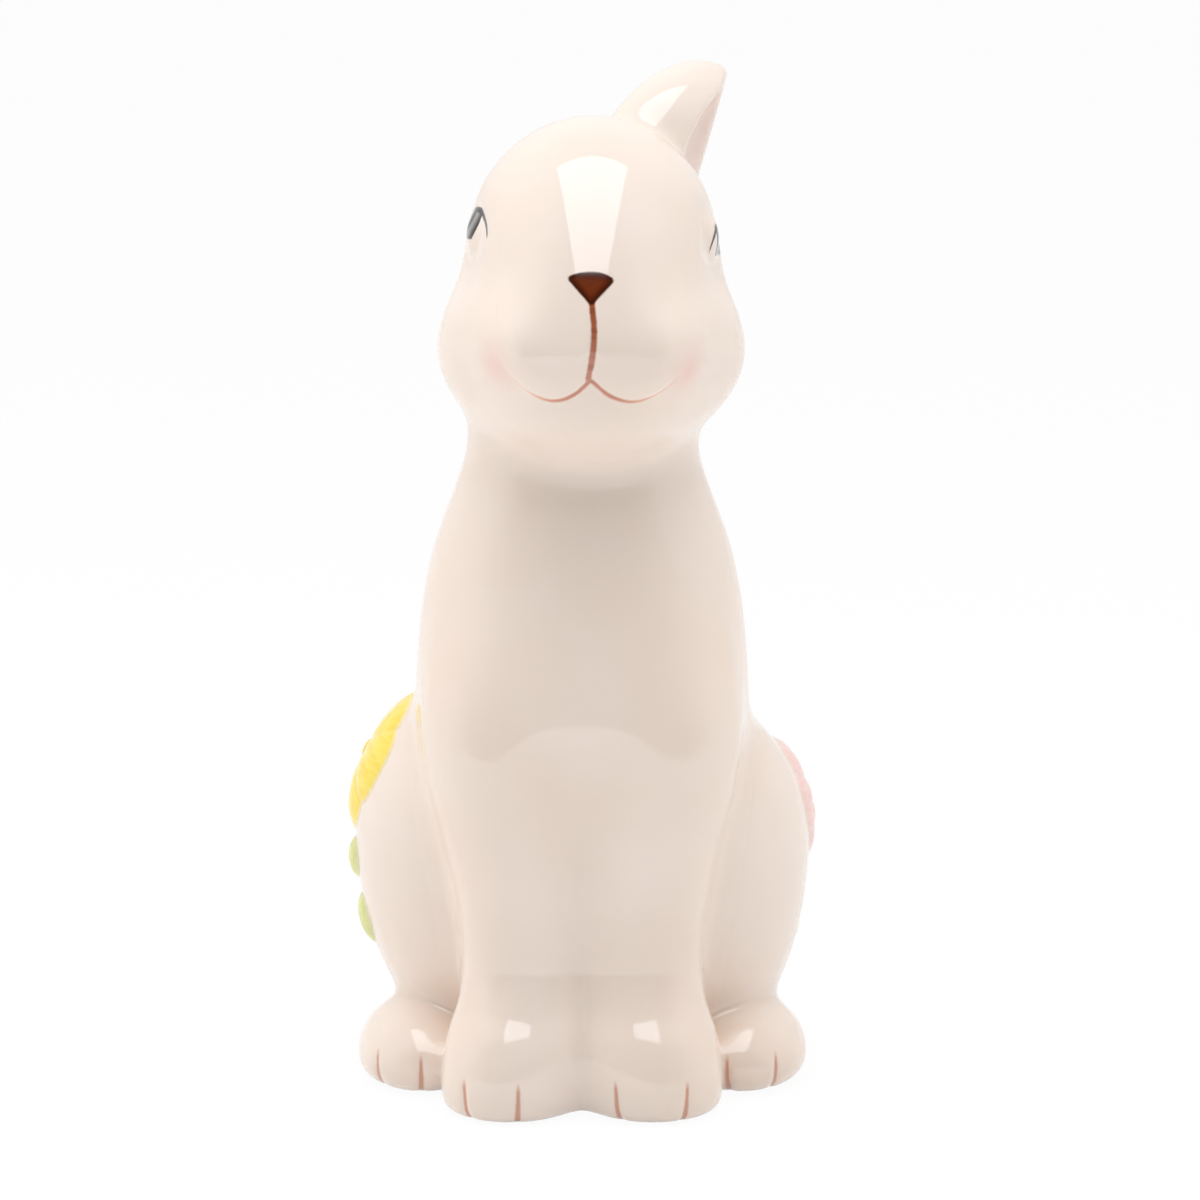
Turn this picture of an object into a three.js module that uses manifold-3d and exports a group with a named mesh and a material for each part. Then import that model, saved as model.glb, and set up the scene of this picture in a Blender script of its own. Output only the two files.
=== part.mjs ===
// Seated rabbit figurine of glazed earthenware, in millimetres.
// +Z is up, the rabbit faces -Y and its left is +X.
// Body and head are hollow slip castings. Legs, paws, ears, tail and flower sprigs are solid and luted on.

import * as THREE from 'three';
import { mergeVertices } from 'three/addons/utils/BufferGeometryUtils.js';
import Module from 'manifold-3d';

const wasm = await Module();
wasm.setup();

// Walls and joints
const WALL = 4; // clay wall of the hollow castings
const JOINT_GAP = 0.3; // room for the slip between two luted pieces
const PLATE_THICKNESS = 5; // slab that closes the foot of the body
const VENT_RADIUS = 9; // hole in the slab that lets the kiln air out

// Torso sections from the foot up: half width, and how far its front and back stand from the middle
const FOOT = { height: 0, halfWidth: 28, front: 15, back: 35 };
const BELLY = { height: 40, halfWidth: 31, front: 25, back: 38.5 };
const CHEST = { height: 75, halfWidth: 33, front: 33.5, back: 33 };
const SHOULDER = { height: 105, halfWidth: 29.8, front: 26.5, back: 25 };
const NECK = { height: 126, halfWidth: 22.8, front: 17, back: 19 };
const NECK_TOP = { height: 146, halfWidth: 20, front: 14, back: 16 };

// Haunches swell out of the torso on both sides
const HAUNCH_CENTRE = new THREE.Vector3(22.5, 9, 48);
const HAUNCH_RADII = new THREE.Vector3(22.9, 28, 27);
const HAUNCH_DROP = 44; // radius of its lower half, down to the floor
const HAUNCH_BLEND = 10;

// Foreleg sections from the sole up: outer edge, half width, how far the front stands out, half depth
const SOLE = { height: 0, outer: 27.4, halfWidth: 13.6, front: 40.4, halfDepth: 14.2 };
const PAW = { height: 7, outer: 27.2, halfWidth: 13.6, front: 40, halfDepth: 14 };
const WRIST = { height: 22, outer: 23.2, halfWidth: 11.6, front: 35.2, halfDepth: 11.6 };
const FOREARM = { height: 40, outer: 24.4, halfWidth: 12.4, front: 34.2, halfDepth: 12 };
const ELBOW = { height: 61, outer: 28.8, halfWidth: 15, front: 33.8, halfDepth: 13 };
const UPPER_ARM = { height: 76, outer: 30.2, halfWidth: 16.2, front: 31.5, halfDepth: 13 };
const ARM_TOP = { height: 110, outer: 14, halfWidth: 6, front: 14, halfDepth: 5 };
const LEG_BLEND = 20; // the two forelegs run into each other along a shallow valley

// Hind paws lie beside the forelegs, toes turned out
const HIND_PAW_CENTRE = new THREE.Vector3(32.2, -3, 5.4);
const HIND_PAW_RADII = new THREE.Vector3(12.4, 17.5, 11);
const HIND_PAW_TURN = 8; // degrees

// Head, measured from the middle of the neck joint
const HEAD_SHIFT = 1.5; // the head sits a little to its left
const HEAD_ROLL = 0.8; // degrees
const CRANIUM_CENTRE = new THREE.Vector3(0, -2, 39.5);
const CRANIUM_RADII = new THREE.Vector3(24.6, 27, 25.3);
const CHEEK_CENTRE = new THREE.Vector3(0, -8, 21);
const CHEEK_RADII = new THREE.Vector3(29.8, 26, 20.5);
const JAW_CENTRE = new THREE.Vector3(0, -17, 16);
const JAW_RADII = new THREE.Vector3(19, 21, 15);
const MUZZLE_CENTRE = new THREE.Vector3(8.5, -23, 24);
const MUZZLE_RADII = new THREE.Vector3(14, 18, 11.5);
const SOCKET_CENTRE = new THREE.Vector3(28.2, -13, 43);
const SOCKET_RADII = new THREE.Vector3(5, 9, 8);
const BROW = new THREE.Vector3(0, -14, 45);
const BROW_RADIUS = 16;
const NOSE = new THREE.Vector3(0, -31.5, 30.5);
const NOSE_RADIUS = 14;
const FACE_BLEND = 14;
const JAW_BLEND = 10;
const MUZZLE_BLEND = 8;
const SOCKET_BLEND = 8;
const NECK_BLEND = 11;

// Raised left ear, a cup open to the side
// Its seat is a direction from the cranium's middle, its stand-off is from the skin there
const LEFT_EAR_SEAT = new THREE.Vector3(0.45, 0.67, 0.58);
const LEFT_EAR_STANDOFF = 6.5;
const LEFT_EAR_AXIS = new THREE.Vector3(0.4, 0.7, 0.59);
const LEFT_EAR_FACING = new THREE.Vector3(0.94, -0.26, -0.2);
const LEFT_EAR_RADII = new THREE.Vector3(20.5, 12, 11); // along, across, through
const LEFT_EAR_CUT = 8.8; // from its middle to the rim
const LEFT_EAR_HOLLOW_AXIS = new THREE.Vector3(0.2, 0.6, 0.8);
const LEFT_EAR_HOLLOW_RADII = new THREE.Vector3(15, 7, 6.5);

// Right ear, laid back flat down the nape
const RIGHT_EAR_SEAT = new THREE.Vector3(-0.44, 0.8, -0.4);
const RIGHT_EAR_STANDOFF = 2.5;
const RIGHT_EAR_AXIS = new THREE.Vector3(-6, 5, -36);
const RIGHT_EAR_FACING = new THREE.Vector3(-0.5, 1, 0.1);
const RIGHT_EAR_RADII = new THREE.Vector3(25, 12, 6.5);
const RIGHT_EAR_HOLLOW_RADII = new THREE.Vector3(18, 7.5, 4.5);
const RIGHT_EAR_HOLLOW_LIFT = 6.5; // from its middle to the middle of the scoop

// Tail, a ball on the rump
const TAIL_HEIGHT = 19;
const TAIL_STANDOFF = 0.2;
const TAIL_RADII = new THREE.Vector3(10.5, 9.4, 10);

// Flower sprigs pressed on the haunches, each placed by a direction from the haunch's middle
const PETALS = 5;
const CENTRE_RADIUS = 3;
const CENTRE_THICKNESS = 2.2;
const LEAF_THICKNESS = 1.2;
const YELLOW_FLOWER_SEAT = new THREE.Vector3(-19.4, 3, 14);
const YELLOW_FLOWER = { seat: YELLOW_FLOWER_SEAT, radius: 14, waist: 8.5, thickness: 1.3, turn: 10 };
const YELLOW_UPPER_LEAF_SEAT = new THREE.Vector3(-22.9, 0, -6);
const YELLOW_UPPER_LEAF = { seat: YELLOW_UPPER_LEAF_SEAT, length: 10.5, width: 7.5, turn: 80 };
const YELLOW_LOWER_LEAF_SEAT = new THREE.Vector3(-21, -3, -18);
const YELLOW_LOWER_LEAF = { seat: YELLOW_LOWER_LEAF_SEAT, length: 12, width: 8.5, turn: 105 };
const PINK_FLOWER_SEAT = new THREE.Vector3(21.4, 8, 4);
const PINK_FLOWER = { seat: PINK_FLOWER_SEAT, radius: 16, waist: 10, thickness: 1.5, turn: 46 };
const PINK_UPPER_LEAF_SEAT = new THREE.Vector3(14, 24, -14);
const PINK_UPPER_LEAF = { seat: PINK_UPPER_LEAF_SEAT, length: 13, width: 8.5, turn: -60 };
const PINK_LOWER_LEAF_SEAT = new THREE.Vector3(19, 8, -22);
const PINK_LOWER_LEAF = { seat: PINK_LOWER_LEAF_SEAT, length: 13, width: 8.5, turn: -75 };

// Fineness of the meshes
const BODY_MESH = { around: 40, rows: 16, capRows: 4 };
const BODY_INSIDE_MESH = { around: 20, rows: 8, capRows: 4 };
const HEAD_MESH = { around: 36, rows: 4, capRows: 10 };
const HEAD_INSIDE_MESH = { around: 18, rows: 4, capRows: 5 };
const LEG_MESH = { around: 24, rows: 11, capRows: 4 };
const EAR_MESH = { around: 22, rows: 14 };
const EAR_HOLLOW_MESH = { around: 18, rows: 10 };
const PAW_MESH = { around: 20, rows: 12 };
const TAIL_MESH = { around: 16, rows: 10 };
const VENT_SIDES = 24;
const PETAL_STEPS = 8; // points on the outline of one petal
const PETAL_ROUNDNESS = 0.6; // 1 makes a soft wave, less makes fuller petals with sharper notches
const SPRIG_CURVE_STEPS = 6;

// Working room for the cuts
const OVERRUN = 12; // a form runs this far past the plane that trims it
const TRIM_SIZE = 600; // blocks that trim a piece flat are larger than the figure
const SPRIG_DEPTH = 9; // how far a sprig's outline is pushed through the haunch's skin
const LEAST_STEP = 0.4; // of a walk from the inside of a form to its skin
const SKIN_TOLERANCE = 1e-4;
const NORMAL_STEP = 0.05;

const UP = new THREE.Vector3(0, 0, 1);
const DOWN = new THREE.Vector3(0, 0, -1);

// Distances to the plain forms, negative inside

function ellipsoid(p, centre, radii) {
  const q = p.clone().sub(centre).divide(radii);
  const near = q.length();
  const slope = q.divide(radii).length();
  return slope > 0 ? near * (near - 1) / slope : -Math.min(radii.x, radii.y, radii.z);
}

function taperedLimb(p, from, fromRadius, to, toRadius) {
  const line = to.clone().sub(from);
  const along = THREE.MathUtils.clamp(p.clone().sub(from).dot(line) / line.lengthSq(), 0, 1);
  const radius = THREE.MathUtils.lerp(fromRadius, toRadius, along);
  return p.distanceTo(from.clone().addScaledVector(line, along)) - radius;
}

// A smooth curve through values at rising heights, to be read at any height
function curveThrough(heights, values) {
  const last = heights.length - 1;
  const rises = heights.slice(1).map((height, i) => (values[i + 1] - values[i]) / (height - heights[i]));
  const slopes = values.map((value, i) => {
    if (i === 0 || i === last) return rises[Math.min(i, last - 1)];
    const below = heights[i] - heights[i - 1];
    const above = heights[i + 1] - heights[i];
    return (rises[i - 1] * above + rises[i] * below) / (above + below);
  });
  return (height) => {
    const h = THREE.MathUtils.clamp(height, heights[0], heights[last]);
    let i = 0;
    while (i < last - 1 && heights[i + 1] <= h) i += 1;
    const span = heights[i + 1] - heights[i];
    const t = (h - heights[i]) / span;
    const ease = t * t * (3 - 2 * t);
    const bow = t * (1 - t) * ((1 - t) * slopes[i] - t * slopes[i + 1]) * span;
    return THREE.MathUtils.lerp(values[i], values[i + 1], ease) + bow;
  };
}

// An upright form of oval sections, each with a height, a middle x and y, a half width and a half depth.
// It runs on below the lowest section and ends flat at the highest.
function column(sections) {
  const heights = sections.map((section) => section[0]);
  const [xAt, yAt, halfWidthAt, halfDepthAt] = [1, 2, 3, 4].map((k) =>
    curveThrough(heights, sections.map((section) => section[k])));
  return (p) => {
    const halfWidth = halfWidthAt(p.z);
    const halfDepth = halfDepthAt(p.z);
    const across = (p.x - xAt(p.z)) / halfWidth;
    const deep = (p.y - yAt(p.z)) / halfDepth;
    const near = Math.hypot(across, deep);
    const slope = Math.hypot(across / halfWidth, deep / halfDepth);
    const side = slope > 0 ? near * (near - 1) / slope : -Math.min(halfWidth, halfDepth);
    const above = p.z - heights.at(-1);
    return above > 0 ? Math.hypot(Math.max(side, 0), above) : side;
  };
}

// Joins two forms with a fillet that reaches as far as the blend
function join(a, b, blend) {
  const near = Math.max(1 - Math.abs(a - b) / blend, 0);
  return Math.min(a, b) - near ** 3 * blend / 6;
}

// Scoops the second form out of the first, with a rounded edge
function scoop(a, b, blend) {
  return -join(-a, b, blend);
}

function mirrored(p, side) {
  return new THREE.Vector3(p.x * side, p.y, p.z);
}

// The rabbit's own forms

const trunk = column([FOOT, BELLY, CHEST, SHOULDER, NECK, NECK_TOP].map((s) =>
  [s.height, 0, (s.back - s.front) / 2, s.halfWidth, (s.back + s.front) / 2]));

const leftForeleg = column([SOLE, PAW, WRIST, FOREARM, ELBOW, UPPER_ARM, ARM_TOP].map((s) =>
  [s.height, s.outer - s.halfWidth, s.halfDepth - s.front, s.halfWidth, s.halfDepth]));

function haunch(p, side) {
  const q = mirrored(p, side);
  const radii = HAUNCH_RADII.clone();
  if (q.z < HAUNCH_CENTRE.z) radii.z = HAUNCH_DROP;
  return ellipsoid(q, HAUNCH_CENTRE, radii);
}

function torso(p) {
  return join(join(trunk(p), haunch(p, 1), HAUNCH_BLEND), haunch(p, -1), HAUNCH_BLEND);
}

const headOrigin = new THREE.Vector3(HEAD_SHIFT, 0, NECK.height);
const headTurn = new THREE.Quaternion().setFromAxisAngle(
  new THREE.Vector3(0, 1, 0), THREE.MathUtils.degToRad(HEAD_ROLL));

function fromHead(local) {
  return local.clone().applyQuaternion(headTurn).add(headOrigin);
}

function head(p) {
  const q = p.clone().sub(headOrigin).applyQuaternion(headTurn.clone().invert());
  let d = ellipsoid(q, CRANIUM_CENTRE, CRANIUM_RADII);
  d = join(d, ellipsoid(q, CHEEK_CENTRE, CHEEK_RADII), FACE_BLEND);
  d = join(d, taperedLimb(q, BROW, BROW_RADIUS, NOSE, NOSE_RADIUS), FACE_BLEND);
  d = join(d, ellipsoid(q, JAW_CENTRE, JAW_RADII), JAW_BLEND);
  for (const side of [1, -1]) {
    d = join(d, ellipsoid(mirrored(q, side), MUZZLE_CENTRE, MUZZLE_RADII), MUZZLE_BLEND);
    d = scoop(d, ellipsoid(mirrored(q, side), SOCKET_CENTRE, SOCKET_RADII), SOCKET_BLEND);
  }
  return d;
}

function headAndBody(p) {
  return join(torso(p), head(p), NECK_BLEND);
}

function forelegs(p) {
  return join(leftForeleg(p), leftForeleg(mirrored(p, -1)), LEG_BLEND);
}

// The skin of a form met on the way out from a point inside it
function skinPoint(form, inside, direction) {
  const at = (reach) => inside.clone().addScaledVector(direction, reach);
  let near = 0;
  let far = LEAST_STEP;
  for (let depth = -form(at(far)); depth > 0; depth = -form(at(far))) {
    near = far;
    far += Math.max(depth, LEAST_STEP);
  }
  while (far - near > SKIN_TOLERANCE) {
    const middle = (near + far) / 2;
    if (form(at(middle)) < 0) near = middle;
    else far = middle;
  }
  return at(near);
}

function skinNormal(form, p) {
  const change = (axis) => {
    const shift = new THREE.Vector3().setComponent(axis, NORMAL_STEP);
    return form(p.clone().add(shift)) - form(p.clone().sub(shift));
  };
  return new THREE.Vector3(change(0), change(1), change(2)).normalize();
}

// Closed meshes as solids that can be joined and cut

function solidOf(geometry) {
  geometry.deleteAttribute('normal');
  geometry.deleteAttribute('uv');
  const merged = mergeVertices(geometry, SKIN_TOLERANCE);
  const corners = merged.index.array;
  const kept = [];
  for (let i = 0; i < corners.length; i += 3) {
    const [a, b, c] = corners.slice(i, i + 3);
    if (a !== b && b !== c && c !== a) kept.push(a, b, c);
  }
  return new wasm.Manifold(new wasm.Mesh({
    numProp: 3,
    vertProperties: new Float32Array(merged.attributes.position.array),
    triVerts: new Uint32Array(kept),
  }));
}

// Everything on the outer side of a plane
function halfSpace(point, normal) {
  const box = new THREE.BoxGeometry(TRIM_SIZE, TRIM_SIZE, TRIM_SIZE).translate(0, 0, TRIM_SIZE / 2);
  const turn = new THREE.Quaternion().setFromUnitVectors(UP, normal.clone().normalize());
  return solidOf(box.applyQuaternion(turn).translate(point.x, point.y, point.z));
}

const belowFloor = halfSpace(new THREE.Vector3(0, 0, FOOT.height), DOWN);

// An oval ball with its axes along the columns of a frame
function ball(centre, radii, frame, { around, rows }) {
  const geometry = new THREE.SphereGeometry(1, around, rows).rotateZ(-Math.PI / 2);
  geometry.scale(radii.x, radii.y, radii.z).applyMatrix4(frame);
  return solidOf(geometry.translate(centre.x, centre.y, centre.z));
}

// A frame whose first column runs along an axis, and whose third faces the given way as nearly as it can
function frameAlong(axis, facing) {
  const along = axis.clone().normalize();
  const through = facing.clone().addScaledVector(along, -facing.dot(along)).normalize();
  return new THREE.Matrix4().makeBasis(along, through.clone().cross(along), through);
}

// A mesh pushed out from a core line until it lies on the skin of a form
function wrap(form, from, to, { around, rows, capRows }) {
  const axis = to.clone().sub(from);
  const half = axis.length() / 2;
  const geometry = new THREE.CapsuleGeometry(1, axis.length(), capRows, around, rows);
  const capsuleAxis = new THREE.Vector3(0, 1, 0);
  const turn = new THREE.Quaternion().setFromUnitVectors(capsuleAxis, axis.clone().normalize());
  const middle = from.clone().add(to).divideScalar(2);
  const place = geometry.attributes.position;
  for (let i = 0; i < place.count; i += 1) {
    const vertex = new THREE.Vector3().fromBufferAttribute(place, i);
    const core = new THREE.Vector3(0, THREE.MathUtils.clamp(vertex.y, -half, half), 0);
    const outward = vertex.sub(core).normalize().applyQuaternion(turn);
    const skin = skinPoint(form, core.applyQuaternion(turn).add(middle), outward);
    place.setXYZ(i, skin.x, skin.y, skin.z);
  }
  return solidOf(geometry);
}

// Glazes
const CREAM_GLAZE = { color: 0xf3e8de, roughness: 0.12 };
const RAW_CLAY = { color: 0xe3d5c3, roughness: 0.8 };
const YELLOW_GLAZE = { color: 0xf4d44c, roughness: 0.15 };
const AMBER_GLAZE = { color: 0xd9952e, roughness: 0.15 };
const PINK_GLAZE = { color: 0xf4c6c0, roughness: 0.15 };
const GREEN_GLAZE = { color: 0xc6dc93, roughness: 0.15 };

const figurine = new THREE.Group();

function addPiece(name, solid, glaze) {
  const { vertProperties, triVerts } = solid.getMesh();
  const geometry = new THREE.BufferGeometry();
  geometry.setAttribute('position', new THREE.BufferAttribute(new Float32Array(vertProperties), 3));
  geometry.setIndex(new THREE.BufferAttribute(new Uint32Array(triVerts), 1));
  geometry.computeVertexNormals();
  const mesh = new THREE.Mesh(geometry, new THREE.MeshStandardMaterial({ ...glaze, metalness: 0 }));
  mesh.name = name;
  figurine.add(mesh);
}

// Body casting: a hollow shell, open at the foot and at the neck joint
const footMiddle = (FOOT.back - FOOT.front) / 2;
const bodyCoreFoot = new THREE.Vector3(0, footMiddle, FOOT.height + OVERRUN);
const bodyCoreNeck = new THREE.Vector3(0, 0, NECK.height - OVERRUN);

function bodyAt(offset, mesh) {
  const form = (p) => Math.max(torso(p) - offset, FOOT.height - OVERRUN - p.z);
  return wrap(form, bodyCoreFoot, bodyCoreNeck, mesh);
}

const bodySkins = new Map();

function bodySkin(offset) {
  if (!bodySkins.has(offset)) bodySkins.set(offset, bodyAt(offset, BODY_MESH));
  return bodySkins.get(offset);
}

const bodyInside = (offset) => bodyAt(offset, BODY_INSIDE_MESH);
const bodyClearance = bodySkin(JOINT_GAP);
const aboveBody = halfSpace(new THREE.Vector3(0, 0, NECK.height - JOINT_GAP / 2), UP);
const bodyCasting = bodySkin(0).subtract(bodyInside(-WALL)).subtract(belowFloor).subtract(aboveBody);
addPiece('body_casting', bodyCasting, CREAM_GLAZE);

// Base plate: a slab luted inside the foot of the body, with the vent in its middle
const plateTop = halfSpace(new THREE.Vector3(0, 0, FOOT.height + PLATE_THICKNESS), UP);
const vent = new THREE.CylinderGeometry(VENT_RADIUS, VENT_RADIUS, 4 * PLATE_THICKNESS, VENT_SIDES);
vent.rotateX(Math.PI / 2).translate(0, footMiddle, FOOT.height);
const basePlate = bodyInside(-WALL - JOINT_GAP).subtract(belowFloor).subtract(plateTop)
  .subtract(solidOf(vent));
addPiece('base_plate', basePlate, RAW_CLAY);

// Head casting: a hollow shell, open at the neck joint
function headAt(offset, mesh) {
  const form = (p) => Math.max(headAndBody(p) - offset, NECK.height - OVERRUN - p.z);
  return wrap(form, fromHead(CHEEK_CENTRE), fromHead(CRANIUM_CENTRE), mesh);
}

const headSkin = (offset) => headAt(offset, HEAD_MESH);
const headClearance = headSkin(JOINT_GAP);
const belowHead = halfSpace(new THREE.Vector3(0, 0, NECK.height + JOINT_GAP / 2), DOWN);
const headCasting = headSkin(0).subtract(headAt(-WALL, HEAD_INSIDE_MESH)).subtract(belowHead);
addPiece('head_casting', headCasting, CREAM_GLAZE);

// Ears: solid, pressed in halves and luted to the back of the head
function earMiddle(seat, standoff) {
  const middle = fromHead(CRANIUM_CENTRE);
  const outward = seat.clone().normalize().applyQuaternion(headTurn);
  return skinPoint(head, middle, outward).addScaledVector(outward, standoff);
}

const leftEarMiddle = earMiddle(LEFT_EAR_SEAT, LEFT_EAR_STANDOFF);
const leftEarOut = LEFT_EAR_FACING.clone().normalize();
const leftEarRim = leftEarMiddle.clone().addScaledVector(leftEarOut, LEFT_EAR_CUT);
const leftEarHollow = ball(
  leftEarRim, LEFT_EAR_HOLLOW_RADII, frameAlong(LEFT_EAR_HOLLOW_AXIS, LEFT_EAR_FACING), EAR_HOLLOW_MESH);
const leftEar = ball(leftEarMiddle, LEFT_EAR_RADII, frameAlong(LEFT_EAR_AXIS, LEFT_EAR_FACING), EAR_MESH)
  .subtract(halfSpace(leftEarRim, LEFT_EAR_FACING)).subtract(leftEarHollow).subtract(headClearance);
addPiece('left_ear', leftEar, CREAM_GLAZE);

const rightEarMiddle = earMiddle(RIGHT_EAR_SEAT, RIGHT_EAR_STANDOFF);
const rightEarFrame = frameAlong(RIGHT_EAR_AXIS, RIGHT_EAR_FACING);
const rightEarScoop = new THREE.Vector3(0, 0, RIGHT_EAR_HOLLOW_LIFT)
  .applyMatrix4(rightEarFrame).add(rightEarMiddle);
const rightEar = ball(rightEarMiddle, RIGHT_EAR_RADII, rightEarFrame, EAR_MESH)
  .subtract(ball(rightEarScoop, RIGHT_EAR_HOLLOW_RADII, rightEarFrame, EAR_HOLLOW_MESH))
  .subtract(headClearance).subtract(bodyClearance);
addPiece('right_ear', rightEar, CREAM_GLAZE);

// Forelegs: solid, luted to the chest and parted along the middle
const legCoreFoot = new THREE.Vector3(PAW.outer - PAW.halfWidth, PAW.halfDepth - PAW.front, PAW.height);
const legCoreTop = new THREE.Vector3(
  UPPER_ARM.outer - UPPER_ARM.halfWidth, UPPER_ARM.halfDepth - UPPER_ARM.front, UPPER_ARM.height);

function forelegAt(side, offset) {
  const form = (p) => Math.max(
    forelegs(p) - offset, -p.x * side - OVERRUN, FOOT.height - OVERRUN - p.z);
  return wrap(form, mirrored(legCoreFoot, side), mirrored(legCoreTop, side), LEG_MESH);
}

// Hind paws: solid, luted under the haunches and against the forelegs
function hindPaw(side) {
  const turn = new THREE.Matrix4().makeRotationZ(-side * THREE.MathUtils.degToRad(HIND_PAW_TURN));
  return ball(mirrored(HIND_PAW_CENTRE, side), HIND_PAW_RADII, turn, PAW_MESH);
}

for (const [name, side] of [['left', 1], ['right', -1]]) {
  const middle = new THREE.Vector3(side * JOINT_GAP / 2, 0, 0);
  const pastMiddle = halfSpace(middle, new THREE.Vector3(-side, 0, 0));
  const foreleg = forelegAt(side, 0)
    .subtract(belowFloor).subtract(pastMiddle).subtract(bodyClearance);
  const paw = hindPaw(side)
    .subtract(belowFloor).subtract(bodyClearance).subtract(forelegAt(side, JOINT_GAP));
  addPiece(`${name}_foreleg`, foreleg, CREAM_GLAZE);
  addPiece(`${name}_hind_paw`, paw, CREAM_GLAZE);
}

// Tail: a solid ball luted to the rump
const tailRoot = skinPoint(torso, new THREE.Vector3(0, 0, TAIL_HEIGHT), new THREE.Vector3(0, 1, 0));
const tailMiddle = tailRoot.clone().add(new THREE.Vector3(0, TAIL_STANDOFF, 0));
const tail = ball(tailMiddle, TAIL_RADII, new THREE.Matrix4(), TAIL_MESH)
  .subtract(bodyClearance).subtract(belowFloor);
addPiece('tail', tail, CREAM_GLAZE);

// Flower sprigs: thin reliefs that follow the haunch, pressed in a mould and luted on
function sprig(outline, { seat, turn }, thickness) {
  const side = Math.sign(seat.x);
  const middle = mirrored(HAUNCH_CENTRE, side);
  const root = skinPoint(torso, middle, seat.clone().normalize());
  const outward = skinNormal(torso, root);
  const across = UP.clone().cross(outward).normalize();
  const upward = outward.clone().cross(across);
  const frame = new THREE.Matrix4().makeBasis(across, upward, outward).setPosition(root);
  const prism = new THREE.ExtrudeGeometry(
    outline, { depth: 2 * SPRIG_DEPTH, bevelEnabled: false, curveSegments: SPRIG_CURVE_STEPS });
  prism.translate(0, 0, -SPRIG_DEPTH).rotateZ(THREE.MathUtils.degToRad(turn)).applyMatrix4(frame);
  return solidOf(prism).intersect(bodySkin(JOINT_GAP + thickness)).subtract(bodyClearance);
}

function petalOutline({ radius, waist }) {
  const steps = PETAL_STEPS * PETALS;
  const points = [];
  for (let i = 0; i < steps; i += 1) {
    const angle = 2 * Math.PI * i / steps;
    const lobe = Math.abs(Math.cos(angle * PETALS / 2)) ** PETAL_ROUNDNESS;
    const reach = THREE.MathUtils.lerp(waist, radius, lobe);
    points.push(new THREE.Vector2(reach * Math.cos(angle), reach * Math.sin(angle)));
  }
  const outline = new THREE.Shape(points);
  outline.holes.push(new THREE.Path().absarc(0, 0, CENTRE_RADIUS + JOINT_GAP, 0, 2 * Math.PI, true));
  return outline;
}

function leafOutline({ length, width }) {
  const outline = new THREE.Shape();
  outline.moveTo(-length / 2, 0);
  outline.quadraticCurveTo(0, -width, length / 2, 0);
  outline.quadraticCurveTo(0, width, -length / 2, 0);
  return outline;
}

const centreOutline = new THREE.Shape().absarc(0, 0, CENTRE_RADIUS, 0, 2 * Math.PI, false);

function addFlower(colour, flower, leaves, petalGlaze, centreGlaze) {
  addPiece(`${colour}_flower`, sprig(petalOutline(flower), flower, flower.thickness), petalGlaze);
  addPiece(`${colour}_flower_centre`, sprig(centreOutline, flower, CENTRE_THICKNESS), centreGlaze);
  for (const [place, leaf] of Object.entries(leaves)) {
    addPiece(`${colour}_flower_${place}_leaf`, sprig(leafOutline(leaf), leaf, LEAF_THICKNESS), GREEN_GLAZE);
  }
}

const yellowLeaves = { upper: YELLOW_UPPER_LEAF, lower: YELLOW_LOWER_LEAF };
const pinkLeaves = { upper: PINK_UPPER_LEAF, lower: PINK_LOWER_LEAF };
addFlower('yellow', YELLOW_FLOWER, yellowLeaves, YELLOW_GLAZE, AMBER_GLAZE);
addFlower('pink', PINK_FLOWER, pinkLeaves, PINK_GLAZE, YELLOW_GLAZE);

export default figurine;
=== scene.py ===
import math

import bpy
import numpy as np
from mathutils import Matrix, Vector


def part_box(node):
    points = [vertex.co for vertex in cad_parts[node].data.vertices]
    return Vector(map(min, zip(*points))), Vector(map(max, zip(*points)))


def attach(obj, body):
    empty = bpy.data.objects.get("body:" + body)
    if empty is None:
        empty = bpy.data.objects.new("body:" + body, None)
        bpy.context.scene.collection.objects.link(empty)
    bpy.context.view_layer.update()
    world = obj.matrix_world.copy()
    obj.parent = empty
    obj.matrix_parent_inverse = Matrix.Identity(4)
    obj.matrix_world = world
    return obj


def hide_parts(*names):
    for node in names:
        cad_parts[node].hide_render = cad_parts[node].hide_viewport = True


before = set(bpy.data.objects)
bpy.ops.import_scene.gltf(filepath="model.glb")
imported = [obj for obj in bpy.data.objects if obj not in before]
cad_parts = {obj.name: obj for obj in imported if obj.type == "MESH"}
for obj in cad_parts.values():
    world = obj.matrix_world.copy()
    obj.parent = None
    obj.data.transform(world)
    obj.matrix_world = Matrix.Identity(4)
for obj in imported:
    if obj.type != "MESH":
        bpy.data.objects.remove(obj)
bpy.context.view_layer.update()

# Body casting
# The sitting rabbit's torso and both haunches, one hollow shell of white earthenware.
# It is slip-cast with an open foot and an open neck, and dipped in a warm cream gloss glaze.

MM = 0.001  # the forms are worked out in millimetres, the meshes are made in metres
WALL = 4.0
SOLE_ROUNDING = 3.0
SOLE_TOP, SOLE_FADE = 0.35, 0.2  # glaze starts this far above the floor
NECK_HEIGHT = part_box("body_casting")[1].z / MM
BODY_CELL = 1.0
BODY_REACH = (-48, -36, -2), (48, 42, NECK_HEIGHT + 2)  # the room in which its skin is looked for

# Height, half width, reach to the front and reach to the back
TORSO_SECTIONS = [
    (0, 28, 15, 35),
    (40, 31, 25, 38.5),
    (75, 33, 34, 33),
    (105, 29.8, 27, 25),
    (126, 22.8, 21.5, 19),
    (146, 20, 17, 16),
]
HAUNCH_CENTRE = np.array([22.5, 9, 48])
HAUNCH_RADII = np.array([22.9, 28, 27])
HAUNCH_DROP = 44.0  # radius of the lower half
HAUNCH_BLEND = 10.0
HAUNCH_SKEW = 1.6  # the right haunch sits this much higher, the left one lower

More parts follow.
